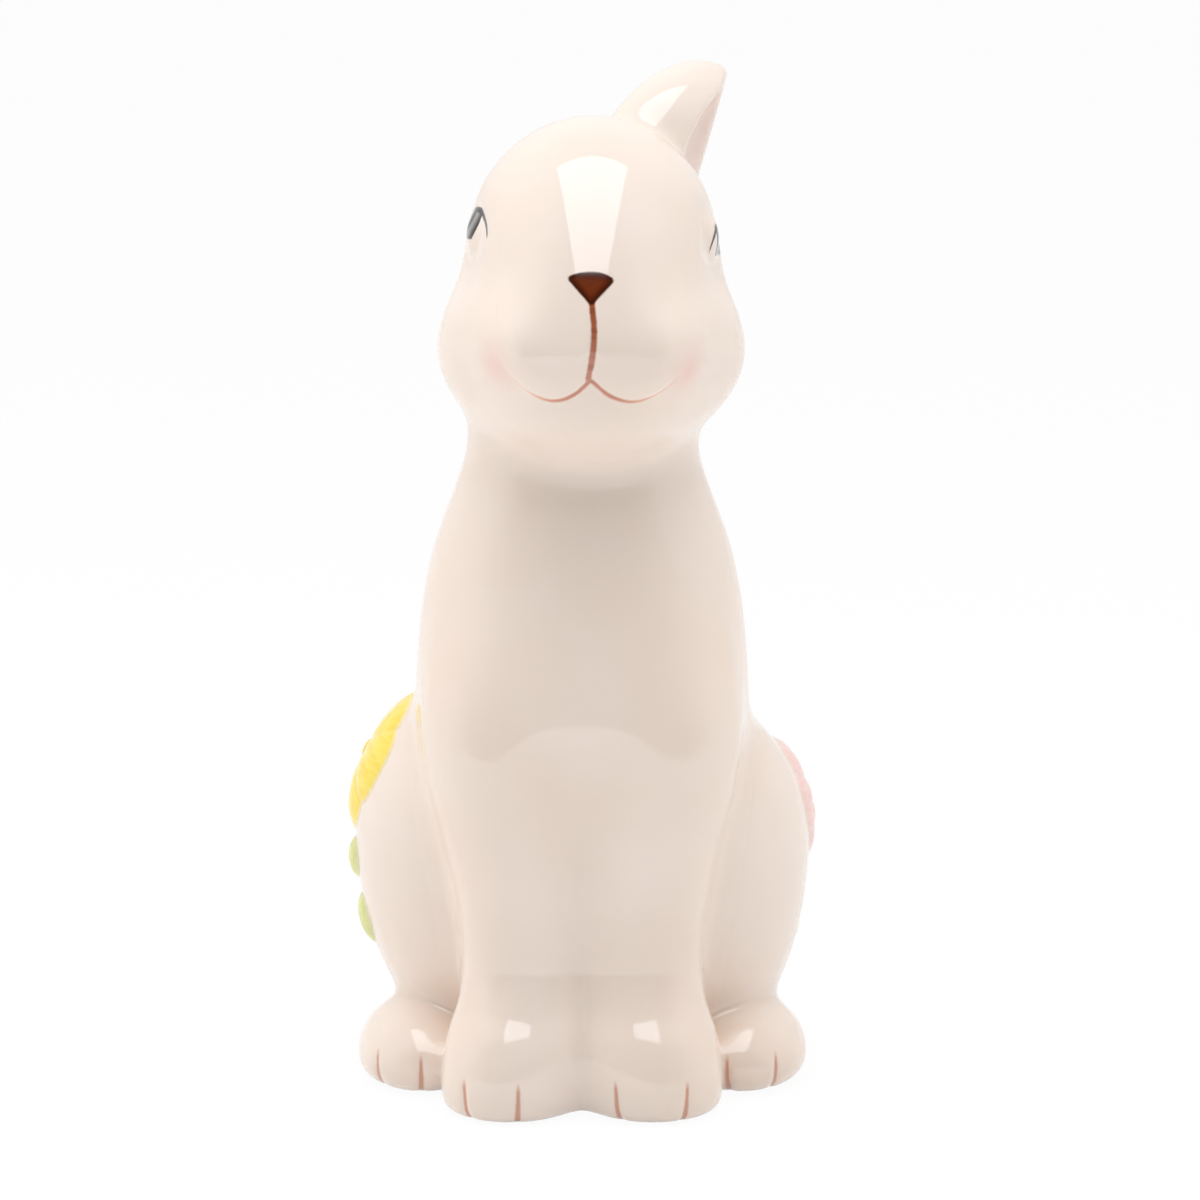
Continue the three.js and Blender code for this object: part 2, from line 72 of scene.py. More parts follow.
CREAM = (0.865, 0.732, 0.63, 1)
DEEP_CREAM = (0.82, 0.66, 0.54, 1)
SPECK = (0.30, 0.22, 0.17, 1)
CLAY = (0.72, 0.60, 0.48, 1)
CLAY_ROUGHNESS = 0.75
GLAZE_ROUGHNESS = 0.05, 0.09
GLAZE_IOR = 1.6
CLOUD_SCALE, CLOUD_SHARE = 34, 0.35
POOL_SHARE = 0.3  # how far the thicker glaze in a crease takes on the deeper colour
PINHOLE_SCALE, PINHOLE_SIZE, PINHOLE_SHARE = 150, 0.034, 0.75
WAVE_SCALE, RIPPLE_SCALE, RIPPLE_SHARE = 38, 300, 0.03
WAVE_HEIGHT = 0.00009
SHEEN_SCALE = 60


def oval(p, centre, radii):
    """Distance to an oval ball, negative inside."""
    q = (p - centre) / radii
    near = np.maximum(np.linalg.norm(q, axis=1), 1e-6)
    slope = np.maximum(np.linalg.norm(q / radii, axis=1), 1e-6 / np.max(radii))
    return near * (near - 1) / slope


def curve_through(stations, at):
    """Smooth curves through stations. Each station is a place, and the values of the curves there."""
    stations = np.array(stations, float)
    places, values = stations[:, 0], stations[:, 1:]
    slopes = np.gradient(values, places, axis=0)
    at = np.clip(at, places[0], places[-1])
    i = np.clip(np.searchsorted(places, at, side="right") - 1, 0, len(places) - 2)
    span = (places[i + 1] - places[i])[:, None]
    t = (at - places[i])[:, None] / span
    bow = t * (1 - t) * ((1 - t) * slopes[i] - t * slopes[i + 1]) * span
    return (values[i] + (values[i + 1] - values[i]) * t * t * (3 - 2 * t) + bow).T


def column(p, sections):
    """Distance to an upright form of oval sections: height, middle x and y, half width, half depth."""
    x, y, half_width, half_depth = curve_through(sections, p[:, 2])
    across, deep = (p[:, 0] - x) / half_width, (p[:, 1] - y) / half_depth
    near = np.maximum(np.hypot(across, deep), 1e-6)
    slope = np.maximum(np.hypot(across / half_width, deep / half_depth), 1e-8)
    side = near * (near - 1) / slope
    above = p[:, 2] - sections[-1][0]
    return np.where(above > 0, np.hypot(np.maximum(side, 0), above), side)


def closeness(a, b, blend):
    """1 where two skins cross, 0 where they are further apart than the fillet between them."""
    return np.maximum(1 - np.abs(a - b) / blend, 0)


def join(a, b, blend):
    """Both forms, with a fillet where they meet."""
    return np.minimum(a, b) - closeness(a, b, blend) ** 3 * blend / 6


def cut(a, b, rounding):
    """The first form without the second, with a rounded edge."""
    return -join(-a, b, rounding)


def mirrored(p, side):
    return p * np.array([side, 1, 1])


def trunk(p):
    return column(p, [(z, 0, (back - front) / 2, width, (back + front) / 2)
                      for z, width, front, back in TORSO_SECTIONS])


def haunch(p, side):
    q = mirrored(p, side)
    centre = HAUNCH_CENTRE - np.array([0, 0, side * HAUNCH_SKEW])
    upper = oval(q, centre, HAUNCH_RADII)
    lower = oval(q, centre, np.array([*HAUNCH_RADII[:2], HAUNCH_DROP]))
    return np.where(q[:, 2] > centre[2], upper, lower)


def torso(p):
    return join(join(trunk(p), haunch(p, 1), HAUNCH_BLEND), haunch(p, -1), HAUNCH_BLEND)


def on_floor(form, p, rounding=SOLE_ROUNDING):
    """A form that stands on the floor with a rounded edge to its sole."""
    return cut(form, p[:, 2], rounding)


def body_shell(p):
    skin = torso(p)
    return np.maximum.reduce([on_floor(skin, p), -skin - WALL, p[:, 2] - NECK_HEIGHT])


def slope_of(form, p, step=0.02):
    """How fast a form's distance changes along each axis."""
    shifts = np.eye(3) * step
    return np.stack([form(p + s) - form(p - s) for s in shifts], 1) / (2 * step)


def onto_skin(form, p, reach):
    """Points moved straight to the skin of a form, each by no more than the reach."""
    slope = slope_of(form, p)
    move = slope * (form(p) / np.maximum((slope ** 2).sum(1), 1e-3))[:, None]
    size = np.maximum(np.linalg.norm(move, axis=1, keepdims=True), 1e-9)
    return p - move * np.minimum(1, reach / size)


BLOCK = 4  # grid points far from the skin are taken in blocks of this many each way
EVENING_ROUNDS = 3


def skin_quads(form, low, high, cell):
    """Points and quads on the skin of a form, one point in each grid cell that the skin crosses."""
    blocks = [math.ceil((b - a) / cell / BLOCK) for a, b in zip(low, high)]
    axes = [a + cell * np.arange(n * BLOCK) for a, n in zip(low, blocks)]
    grid = np.stack(np.meshgrid(*axes, indexing="ij"), -1)
    middles = grid[BLOCK // 2::BLOCK, BLOCK // 2::BLOCK, BLOCK // 2::BLOCK]
    depth = form(middles.reshape(-1, 3)).reshape(blocks)
    for axis in range(3):
        depth = depth.repeat(BLOCK, axis)
    close = np.abs(depth) < 2 * BLOCK * cell
    depth[close] = form(grid[close])
    inside = depth < 0
    ends = [slice(None, -1), slice(1, None)]
    filled = sum(inside[i, j, k].astype(int) for i in ends for j in ends for k in ends)
    crossed = (filled > 0) & (filled < 8)
    number = np.full(crossed.shape, -1)
    number[crossed] = np.arange(crossed.sum())
    points = grid[:-1, :-1, :-1][crossed] + cell / 2
    quads = []
    for axis in range(3):
        order = (axis, (axis + 1) % 3, (axis + 2) % 3)
        along, cells = inside.transpose(order), number.transpose(order)
        here, beyond = along[:-1, 1:-1, 1:-1], along[1:, 1:-1, 1:-1]
        i, j, k = np.nonzero(here != beyond)
        ring = [cells[i, j, k], cells[i, j + 1, k], cells[i, j + 1, k + 1], cells[i, j, k + 1]]
        ring = np.stack(ring, 1)
        turned = beyond[i, j, k]
        ring[turned] = ring[turned, ::-1]
        quads.append(ring)
    return points, np.concatenate(quads)


def evened(points, quads):
    """Points moved to the middle of their neighbours."""
    one, other = quads.ravel(), np.roll(quads, -1, axis=1).ravel()
    start, end = np.concatenate([one, other]), np.concatenate([other, one])
    count = np.bincount(start, minlength=len(points))[:, None]
    total = [np.bincount(start, points[end, n], len(points)) for n in range(3)]
    return np.stack(total, 1) / count


def skin_mesh(name, form, low, high, cell, marks):
    """A mesh on the skin of a form. Its marks are values at each point that the paint reads."""
    points, quads = skin_quads(form, low, high, cell)
    for _ in range(EVENING_ROUNDS):
        points = onto_skin(form, evened(points, quads), cell)
    points = onto_skin(form, points, cell)
    normals = slope_of(form, points)
    normals /= np.maximum(np.linalg.norm(normals, axis=1, keepdims=True), 1e-9)
    mesh = bpy.data.meshes.new(name)
    mesh.from_pydata((points * MM).tolist(), [], quads.tolist())
    mesh.shade_smooth()
    mesh.normals_split_custom_set_from_vertices(normals.tolist())
    for key, values in marks(points).items():
        values = np.ascontiguousarray(values, np.float32)
        mesh.attributes.new(key, "FLOAT", "POINT").data.foreach_set("value", values)
    return mesh


def add_node(tree, kind, inputs, **settings):
    """A new node with its settings, and its inputs set to values or linked to sockets."""
    node = tree.nodes.new(kind)
    for key, value in settings.items():
        setattr(node, key, value)
    for key, value in inputs.items():
        if isinstance(value, bpy.types.NodeSocket):
            tree.links.new(value, node.inputs[key])
        else:
            node.inputs[key].default_value = value
    return node


def eased(tree, value, start, end, low=0.0, high=1.0):
    """A socket that runs smoothly from low to high as the value goes from start to end."""
    ends = {"From Min": start, "From Max": end, "To Min": low, "To Max": high}
    return add_node(tree, "ShaderNodeMapRange", {"Value": value, **ends},
                    interpolation_type="SMOOTHSTEP").outputs["Result"]


def mixed(tree, share, under, over):
    """A colour socket that goes from one colour to another."""
    inputs = {0: share, 6: under, 7: over}
    return add_node(tree, "ShaderNodeMix", inputs, data_type="RGBA").outputs[2]


def noise(tree, place, scale, detail=2.0, stretch=(1, 1, 1)):
    stretched = add_node(tree, "ShaderNodeMapping", {"Vector": place, "Scale": stretch})
    inputs = {"Vector": stretched.outputs["Vector"], "Scale": scale, "Detail": detail}
    return add_node(tree, "ShaderNodeTexNoise", inputs).outputs["Fac"]


def mark(tree, name):
    return add_node(tree, "ShaderNodeAttribute", {}, attribute_name=name).outputs["Fac"]


def math_node(tree, operation, a, b=0.0):
    return add_node(tree, "ShaderNodeMath", {0: a, 1: b}, operation=operation).outputs[0]


def glaze(name, colour, deep_colour):
    """Gloss glaze over fired clay: soft clouds of thicker glaze, pinholes and a slightly wavy skin."""
    material = bpy.data.materials.new(name)
    material.use_nodes = True
    tree = material.node_tree
    tree.nodes.clear()
    place = add_node(tree, "ShaderNodeTexCoord", {}).outputs["Object"]

    clouds = eased(tree, noise(tree, place, CLOUD_SCALE, 3), 0.35, 0.7, 0, CLOUD_SHARE)
    pooled = eased(tree, mark(tree, "crease"), 0.2, 1.0, 0, POOL_SHARE)
    thick = math_node(tree, "ADD", clouds, pooled)
    tint = mixed(tree, thick, colour, deep_colour)

    holes = add_node(tree, "ShaderNodeTexVoronoi", {"Vector": place, "Scale": PINHOLE_SCALE})
    size = eased(tree, holes.outputs["Color"], 0.72, 1.0, 0, PINHOLE_SIZE)
    hole = math_node(tree, "LESS_THAN", holes.outputs["Distance"], size)
    tint = mixed(tree, math_node(tree, "MULTIPLY", hole, PINHOLE_SHARE), tint, SPECK)

    bare = mark(tree, "bare")
    tint = mixed(tree, bare, tint, CLAY)
    gloss = eased(tree, noise(tree, place, SHEEN_SCALE), 0.3, 0.7, *GLAZE_ROUGHNESS)
    rough = math_node(tree, "MAXIMUM", gloss, math_node(tree, "MULTIPLY", bare, CLAY_ROUGHNESS))

    ripples = eased(tree, noise(tree, place, RIPPLE_SCALE), 0, 1, 0, RIPPLE_SHARE)
    waves = math_node(tree, "ADD", noise(tree, place, WAVE_SCALE), ripples)
    bump = add_node(tree, "ShaderNodeBump", {"Height": waves, "Distance": WAVE_HEIGHT, "Strength": 1.0})
    shader = add_node(tree, "ShaderNodeBsdfPrincipled", {
        "Base Color": tint, "Roughness": rough, "IOR": GLAZE_IOR,
        "Normal": bump.outputs["Normal"]}, name="Glaze")
    add_node(tree, "ShaderNodeOutputMaterial", {"Surface": shader.outputs["BSDF"]})
    return material


def paint_over(material, share, colour):
    """Lays a colour over what the material has been painted with so far."""
    tree = material.node_tree
    base = tree.nodes["Glaze"].inputs["Base Color"]
    tree.links.new(mixed(tree, share, base.links[0].from_socket, colour), base)


def add_piece(name, mesh, material, node):
    piece = bpy.data.objects.new(name, mesh)
    bpy.context.scene.collection.objects.link(piece)
    mesh.materials.append(material)
    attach(piece, "root")
    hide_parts(node)
    return piece


def sole(p):
    """1 on the sole, which is wiped bare of glaze before firing."""
    return np.clip((SOLE_TOP - p[:, 2]) / SOLE_FADE, 0, 1)


def haunch_crease(p):
    return closeness(trunk(p), np.minimum(haunch(p, 1), haunch(p, -1)), HAUNCH_BLEND)


def body_marks(p):
    return {"crease": haunch_crease(p),
            "bare": np.maximum(sole(p), torso(p) < -WALL / 2)}


cream_glaze = glaze("cream_glaze", CREAM, DEEP_CREAM)
body_mesh = skin_mesh("glazed_body", body_shell, *BODY_REACH, BODY_CELL, body_marks)
glazed_body = add_piece("glazed_body", body_mesh, cream_glaze, "body_casting")


# Base plate
# A hand-cut slab of bare clay that closes the foot of the body from inside.
# It is luted to the wall with slip and has a round vent for the kiln air.

PLATE_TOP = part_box("base_plate")[1].z / MM
PLATE_GAP = 0.3
PLATE_ROUNDING = 1.2
PLATE_LIFT = 0.4  # the slab sits just clear of the floor
VENT_RADIUS = 9.0
VENT_MIDDLE = 10.0
PLATE_CELL = 0.8
PLATE_REACH = (-30, -20, -1), (30, 38, PLATE_TOP + 1)
DARK_CLAY = (0.56, 0.44, 0.33, 1)
SMEAR_SCALE, SMEAR_STRETCH = 70, (1, 4, 1)
GRAIN_SCALE, GRAIN_HEIGHT = 1800, 0.00008
GRAIN_ROUGHNESS = 0.7, 0.95


def base_plate(p):
    edge = torso(p) + WALL + PLATE_GAP
    slab = np.maximum(p[:, 2] - PLATE_TOP, PLATE_LIFT - p[:, 2])
    vent = np.hypot(p[:, 0], p[:, 1] - VENT_MIDDLE) - VENT_RADIUS
    return cut(-join(-edge, -slab, PLATE_ROUNDING), vent, PLATE_ROUNDING)


def bare_clay(name):
    """Fired clay without glaze: matt, with sandy grain and smears from the wet sponge."""
    material = bpy.data.materials.new(name)
    material.use_nodes = True
    tree = material.node_tree
    place = add_node(tree, "ShaderNodeTexCoord", {}).outputs["Object"]
    smears = eased(tree, noise(tree, place, SMEAR_SCALE, 4, SMEAR_STRETCH), 0.3, 0.75)
    grain = noise(tree, place, GRAIN_SCALE, 3)
    bump = add_node(tree, "ShaderNodeBump", {"Height": grain, "Distance": GRAIN_HEIGHT})
    shader = tree.nodes["Principled BSDF"]
    tree.links.new(mixed(tree, smears, CLAY, DARK_CLAY), shader.inputs["Base Color"])
    tree.links.new(eased(tree, grain, 0.2, 0.8, *GRAIN_ROUGHNESS), shader.inputs["Roughness"])
    tree.links.new(bump.outputs["Normal"], shader.inputs["Normal"])
    return material


plate_mesh = skin_mesh("clay_plate", base_plate, *PLATE_REACH, PLATE_CELL, lambda p: {})
add_piece("clay_plate", plate_mesh, bare_clay("raw_clay"), "base_plate")


# Head casting
# A hollow shell cast apart from the body, trimmed at the neck and luted on with slip.
# Nose, mouth and eyes are brushed on under the glaze, and a sponge puts the blush on the cheeks.

HEAD_CELL = 0.68
HEAD_REACH = (-34, -52, 110), (37, 32, 196)
HEAD_SHIFT = 1.5  # the head sits a little to its left
HEAD_ROLL = math.radians(0.8)
CRANIUM = np.array([0, -2, 39.5]), np.array([24.6, 27, 25.3])
CHEEKS = np.array([0, -8, 21]), np.array([29.8, 26, 20.5])
JAW = np.array([0, -17, 16]), np.array([19, 21, 15])
MUZZLE = np.array([8.5, -23, 24]), np.array([14, 18, 11.5])
BRIDGE_CENTRE, BRIDGE_RADII = np.array([0, -21.5, 39]), np.array([26, 15.5, 14])
BRIDGE_AXIS, BRIDGE_FACING = np.array([0, -0.65, -0.76]), np.array([0, -0.76, 0.65])
SOCKET = np.array([28.8, -14, 43]), np.array([5, 9, 8])
EYEBALL = np.array([17.8, -7.5, 42.5]), np.array([6.6, 8, 7])
FACE_BLEND = 14.0
BRIDGE_BLEND = 18.0
JAW_BLEND = 10.0
MUZZLE_BLEND = 9.0
SOCKET_BLEND = 10.0
EYE_BLEND = 2.0
NECK_BLEND = 11.0
NECK_LAP = 2.0  # the collar laps the joint at least this far
SINK = 2.0  # how far a luted piece reaches under the skin that carries it
EDGE_TUCK = 0.014  # the edge of a fillet sinks by this share of its width
SEAM_POOL = 0.6  # glaze gathers less in the seams of the head than in the creases below
FACE_DEPTH = -12.0, -18.0  # the face begins between these depths
FLANK = 14.0, 17.0  # the sides of the head begin this far out
OFF_FACE = 9.0  # keeps the paint of the nose off the back of the head

# The smile from the middle out: distance from the middle line and height above the neck joint
SMILE = [(0, 19.2), (3, 16.5), (7.7, 14.8), (11.8, 15.8), (15.4, 18.3), (19.5, 23.0)]
SMILE_SKEW = 1.1  # its right half is drawn this much tighter
LIP = 1.3  # the upper lip rolls out this far over the chin
LIP_EDGE = -0.5, 0.7
LIP_ROLL = 5.0
LIP_FADE = 7.5
LIP_ENDS = 20.0, 12.0
CURVE_STEP = 0.2
MOUTH_TAPER, MOUTH_WIDTH = (3, 16.5), (0.42, 0.1)
MOUTH_FADE, MOUTH_SHARE = (20, 8), (0.5, 1.0)
MOUTH_END = 18, 14.5
MOUTH_TONE = 3, 13
# The brushed line from nose to mouth: height, and distance from the middle line
PHILTRUM = [(17.5, -0.55), (19, -0.5), (23.5, 0.2), (29, 0.5), (33, 0.05), (36, -0.15)]
LINE_FOOT, LINE_TOP = (18.2, 19.4), (37, 35.5)
LINE_WIDTH = 0.52, 0.6
LINE_TONE = 33, 19
NOSE_CORNERS = np.array([[-4.9, 38.1], [-0.1, 32.9], [4.45, 37.8], [2.3, 39.2], [-2.5, 39.3]])
NOSE_ROUNDING = 0.8
NOSE_EDGE, NOSE_SHADE = (-0.2, 0.25), (0.2, 1.8)
BLUSH_SPOTS = np.array([[-18.1, -35.8, 21.0], [18.3, -35, 20.1]])
BLUSH_REACH, BLUSH_SHARE = 4.2, 0.6

# Each eye from the side: distance behind the middle of the head, and height above the neck joint
EYE_SKEW = np.array([2.2, -2.8])  # the left eye is painted this much further back and lower
CORNER_START, CORNER_SQUEEZE = -12.0, 1.2  # and its front corner is drawn shorter
IRIS_MIDDLE, IRIS_RADIUS = np.array([-7.9, 45.9]), 5.4
IRIS_EDGE, IRIS_RIM = (1.03, 0.97), (0.95, 0.6)  # shares of its radius
PUPIL_EDGE = 0.56, 0.4
CATCHLIGHT, CATCHLIGHT_EDGE = np.array([-6.4, 46.0]), (1.1, 0.7)
UPPER_LID = [(-19.6, 43.5), (-17.8, 45.2), (-14.4, 46.9), (-12.2, 47.7),
             (-9.5, 47.8), (-6, 47.2), (-2, 45.6), (1.5, 43.2)]
LOWER_LID = [(-19.6, 43.5), (-16, 42.5), (-12, 42.2), (-7, 42), (-2, 42.3), (1.5, 43.2)]
LID_FRONT, LID_BACK = (-19.8, -19.2), (1.8, 1.2)
LID_TAPER, LID_WIDTH = (-18, -12), (0.42, 0.5)
LOWER_LID_FRONT, LOWER_LID_WIDTH = (-8, -3), 0.3
LID_EDGE = 0.2
WHITE_RISE, WHITE_SHARE = (1, 5), (0.1, 0.6)

WOBBLE_SCALE, WOBBLE = 420, 0.1
BRUSH_EDGE = 0.25
HATCH_SCALE, HATCH_STRETCH = 300, (0.6, 1, 4)
SPONGE_SCALE = 90

UMBER = (0.055, 0.010, 0.003, 1)
SIENNA = (0.17, 0.032, 0.008, 1)
RUST = (0.33, 0.085, 0.032, 1)
SALMON = (0.54, 0.22, 0.14, 1)
PEACH = (0.74, 0.36, 0.24, 1)
BLUSH = (0.86, 0.50, 0.45, 1)
INK = (0.014, 0.010, 0.008, 1)
IRIS_GREY = (0.30, 0.28, 0.26, 1)
EYE_WHITE = (0.90, 0.86, 0.83, 1)

neck_joint = TORSO_SECTIONS[4][0]
head_origin = np.array([HEAD_SHIFT, 0, neck_joint])
head_turn = np.array([
    [math.cos(HEAD_ROLL), 0, math.sin(HEAD_ROLL)],
    [0, 1, 0],
    [-math.sin(HEAD_ROLL), 0, math.cos(HEAD_ROLL)],
])


def in_head(p):
    """Places measured from the middle of the neck joint, along the head's own axes."""
    return (p - head_origin) @ head_turn


def unit(v):
    return v / np.linalg.norm(v)


def frame_along(axis, facing):
    """Columns along an axis, across it, and out of it as nearly as can be the given way."""
    along = unit(axis)
    through = unit(facing - along * (facing @ along))
    return np.stack([along, np.cross(through, along), through], 1)


def smooth(value, start, end):
    t = np.clip((value - start) / (end - start), 0, 1)
    return t * t * (3 - 2 * t)


def from_curve(place, height, stations):
    """Distance above a drawn curve, negative below it."""
    shifts = (-CURVE_STEP, 0, CURVE_STEP)
    low, middle, high = [curve_through(stations, place + shift)[0] for shift in shifts]
    return (height - middle) / np.hypot(1, (high - low) / (2 * CURVE_STEP))


def from_middle(q):
    """Distance from the middle line of the face, drawn tighter on its right half."""
    return np.where(q[:, 0] < 0, -q[:, 0] * SMILE_SKEW, q[:, 0])


def above_smile(q):
    """Distance to the line of the smile as seen from the front, positive on the upper lip."""
    return from_curve(from_middle(q), q[:, 2], SMILE)


def on_face(q):
    """1 on the front of the head, 0 behind it."""
    return smooth(q[:, 1], *FACE_DEPTH)


bridge_frame = frame_along(BRIDGE_AXIS, BRIDGE_FACING)


def head(p):
    q = in_head(p)
    form = join(oval(q, *CRANIUM), oval(q, *CHEEKS), FACE_BLEND)
    form = join(form, oval((q - BRIDGE_CENTRE) @ bridge_frame, np.zeros(3), BRIDGE_RADII), BRIDGE_BLEND)
    form = join(form, oval(q, *JAW), JAW_BLEND)
    for side in (1, -1):
        turned = mirrored(q, side)
        form = join(form, oval(turned, *MUZZLE), MUZZLE_BLEND)
        form = cut(form, oval(turned, *SOCKET), SOCKET_BLEND)
        form = join(form, oval(turned, *EYEBALL), EYE_BLEND)
    above = above_smile(q)
    lip = (smooth(above, *LIP_EDGE) + smooth(above, LIP_EDGE[0], LIP_ROLL)) / 2
    lip = lip * np.exp(-(np.maximum(above, 0) / LIP_FADE) ** 2)
    front = smooth(np.abs(q[:, 0]), *LIP_ENDS) * on_face(q)
    return form - LIP * lip * front


def head_and_body(p):
    return join(torso(p), head(p), NECK_BLEND)


def tuck(added, blend):
    """Sinks the thin edge of a fillet just under the skin that it ends on."""
    return EDGE_TUCK * blend * np.clip(added / blend, 0, 1) ** 3


def luted(carrier, form, blend, p):
    """What a luted piece adds to its carrier: itself and the fillet of slip smoothed round it."""
    base, added = carrier(p), form(p)
    skin = join(base, added, blend) + tuck(added, blend)
    return np.maximum.reduce([skin, -base - SINK, added - blend])


def head_shell(p):
    base, added = torso(p), head(p)
    outside = join(base, added, NECK_BLEND)
    collar = np.maximum(p[:, 2] - NECK_HEIGHT, -base - SINK)
    wall = np.maximum(NECK_HEIGHT - p[:, 2], -outside - WALL)
    lap = NECK_HEIGHT - NECK_LAP
    outside = outside + tuck(added, NECK_BLEND) * smooth(p[:, 2], NECK_HEIGHT, lap)
    reach = np.minimum(added - NECK_BLEND, lap - p[:, 2])
    return np.maximum.reduce([outside, reach, np.minimum(collar, wall)])


def inside_corners(points, corners, rounding):
    """Distance inside a polygon with rounded corners, negative outside it."""
    edges = np.roll(corners, -1, axis=0) - corners
    inward = np.stack([-edges[:, 1], edges[:, 0]], 1)
    inward = inward / np.linalg.norm(edges, axis=1, keepdims=True)
    depth = ((points[:, None] - corners) * inward).sum(2) - rounding
    outside = np.linalg.norm(np.minimum(depth, 0), axis=1)
    return np.where(outside > 0, -outside, depth.min(1)) + rounding


def head_marks(p):
    q = in_head(p)
    front = on_face(q)
    nose = inside_corners(q[:, [0, 2]], NOSE_CORNERS, NOSE_ROUNDING)
    blush = [np.exp(-((q - spot) ** 2).sum(1) / BLUSH_REACH ** 2) for spot in BLUSH_SPOTS]
    eye = q[:, 1:] - np.where(q[:, :1] > 0, EYE_SKEW, 0)
    corner = np.maximum(CORNER_START - eye[:, 0], 0)
    eye[:, 0] -= np.where(q[:, 0] > 0, corner * CORNER_SQUEEZE, 0)
    return {
        "crease": closeness(torso(p), head(p), NECK_BLEND) * SEAM_POOL,
        "bare": (head_and_body(p) < -WALL / 2) * 1.0,
        "front": front,
        "away": from_middle(q),
        "height": q[:, 2],
        "smile": above_smile(q),
        "philtrum": q[:, 0] - curve_through(PHILTRUM, q[:, 2])[0],
        "nose": nose * front - OFF_FACE * (1 - front),
        "blush": np.maximum(*blush),
        "flank": smooth(np.abs(q[:, 0]), *FLANK),
        "behind": eye[:, 0],
        "sight": np.linalg.norm(eye - IRIS_MIDDLE, axis=1) / IRIS_RADIUS,
        "catchlight": np.linalg.norm(eye - CATCHLIGHT, axis=1),
        "upper_lid": from_curve(eye[:, 0], eye[:, 1], UPPER_LID),
        "lower_lid": from_curve(eye[:, 0], eye[:, 1], LOWER_LID),
    }


head_mesh = skin_mesh("glazed_head", head_shell, *HEAD_REACH, HEAD_CELL, head_marks)
painted_head = glaze("painted_head", CREAM, DEEP_CREAM)
add_piece("glazed_head", head_mesh, painted_head, "head_casting")

brush = painted_head.node_tree
face = add_node(brush, "ShaderNodeTexCoord", {}).outputs["Object"]
hatching = noise(brush, face, HATCH_SCALE, 2, HATCH_STRETCH)


def wobbled(tree, distance):
    """A distance to the edge of a patch of paint, made uneven as a brush leaves it."""
    place = add_node(tree, "ShaderNodeTexCoord", {}).outputs["Object"]
    shake = eased(tree, noise(tree, place, WOBBLE_SCALE, 3), 0, 1, -WOBBLE, WOBBLE)
    return math_node(tree, "ADD", distance, shake)


def stroke(tree, distance, half_width):
    """Paint that covers what is nearer to a line than half its width."""
    reach = math_node(tree, "SUBTRACT", half_width, math_node(tree, "ABSOLUTE", distance))
    return eased(tree, wobbled(tree, reach), -BRUSH_EDGE, BRUSH_EDGE)


def within(tree, *shares):
    """Paint only where every one of the shares allows it."""
    result = shares[0]
    for share in shares[1:]:
        result = math_node(tree, "MULTIPLY", result, share)
    return result


# Blush, dabbed on with a sponge
height, away, behind = mark(brush, "height"), mark(brush, "away"), mark(brush, "behind")
soft = eased(brush, noise(brush, face, SPONGE_SCALE, 4), 0.2, 0.8, 0.55, 1.0)
paint_over(painted_head, within(brush, mark(brush, "blush"), soft, BLUSH_SHARE), BLUSH)

# Mouth and the line down from the nose
mouth_width = eased(brush, away, *MOUTH_TAPER, *MOUTH_WIDTH)
mouth = within(brush, stroke(brush, mark(brush, "smile"), mouth_width), mark(brush, "front"),
               eased(brush, away, *MOUTH_END), eased(brush, away, *MOUTH_FADE, *MOUTH_SHARE))
mouth_tone = mixed(brush, eased(brush, away, *MOUTH_TONE), SALMON, PEACH)
paint_over(painted_head, mouth, mouth_tone)
line_width = eased(brush, hatching, 0.3, 0.7, *LINE_WIDTH)
line = within(brush, stroke(brush, mark(brush, "philtrum"), line_width), mark(brush, "front"),
              eased(brush, height, *LINE_FOOT), eased(brush, height, *LINE_TOP))
line_tone = mixed(brush, eased(brush, height, *LINE_TONE), RUST, SALMON)
line_tone = mixed(brush, eased(brush, hatching, 0.45, 0.7, 0, 0.4), line_tone, SIENNA)
paint_over(painted_head, line, line_tone)

# Nose
inside_nose = wobbled(brush, mark(brush, "nose"))
nose_tone = mixed(brush, within(brush, eased(brush, inside_nose, *NOSE_SHADE), soft), UMBER, SIENNA)
paint_over(painted_head, eased(brush, inside_nose, *NOSE_EDGE), nose_tone)

# Eyes
flank = mark(brush, "flank")
upper, lower, sight = mark(brush, "upper_lid"), mark(brush, "lower_lid"), mark(brush, "sight")
under_lid, over_lid = eased(brush, upper, LID_EDGE, -LID_EDGE), eased(brush, lower, -LID_EDGE, LID_EDGE)
in_eye = within(brush, flank, under_lid, over_lid)
paint_over(painted_head, within(brush, in_eye, eased(brush, lower, *WHITE_RISE, *WHITE_SHARE)), EYE_WHITE)
iris_tone = mixed(brush, eased(brush, sight, *IRIS_RIM), INK, IRIS_GREY)
iris_tone = mixed(brush, eased(brush, sight, *PUPIL_EDGE), iris_tone, INK)
iris_tone = mixed(brush, eased(brush, mark(brush, "catchlight"), *CATCHLIGHT_EDGE), iris_tone, EYE_WHITE)
paint_over(painted_head, within(brush, in_eye, eased(brush, sight, *IRIS_EDGE)), iris_tone)
lid_ends = within(brush, flank, eased(brush, behind, *LID_FRONT), eased(brush, behind, *LID_BACK))
lid_width = eased(brush, behind, *LID_TAPER, *LID_WIDTH)
paint_over(painted_head, within(brush, lid_ends, stroke(brush, upper, lid_width)), INK)
lower_ends = within(brush, flank, eased(brush, behind, *LOWER_LID_FRONT), eased(brush, behind, *LID_BACK))
paint_over(painted_head, within(brush, lower_ends, stroke(brush, lower, LOWER_LID_WIDTH)), INK)


# Ears
# Two solid ears pressed from clay, luted to the back of the head and smoothed in.
# The left one stands up as a cup open to the side, the right one lies back down the nape.

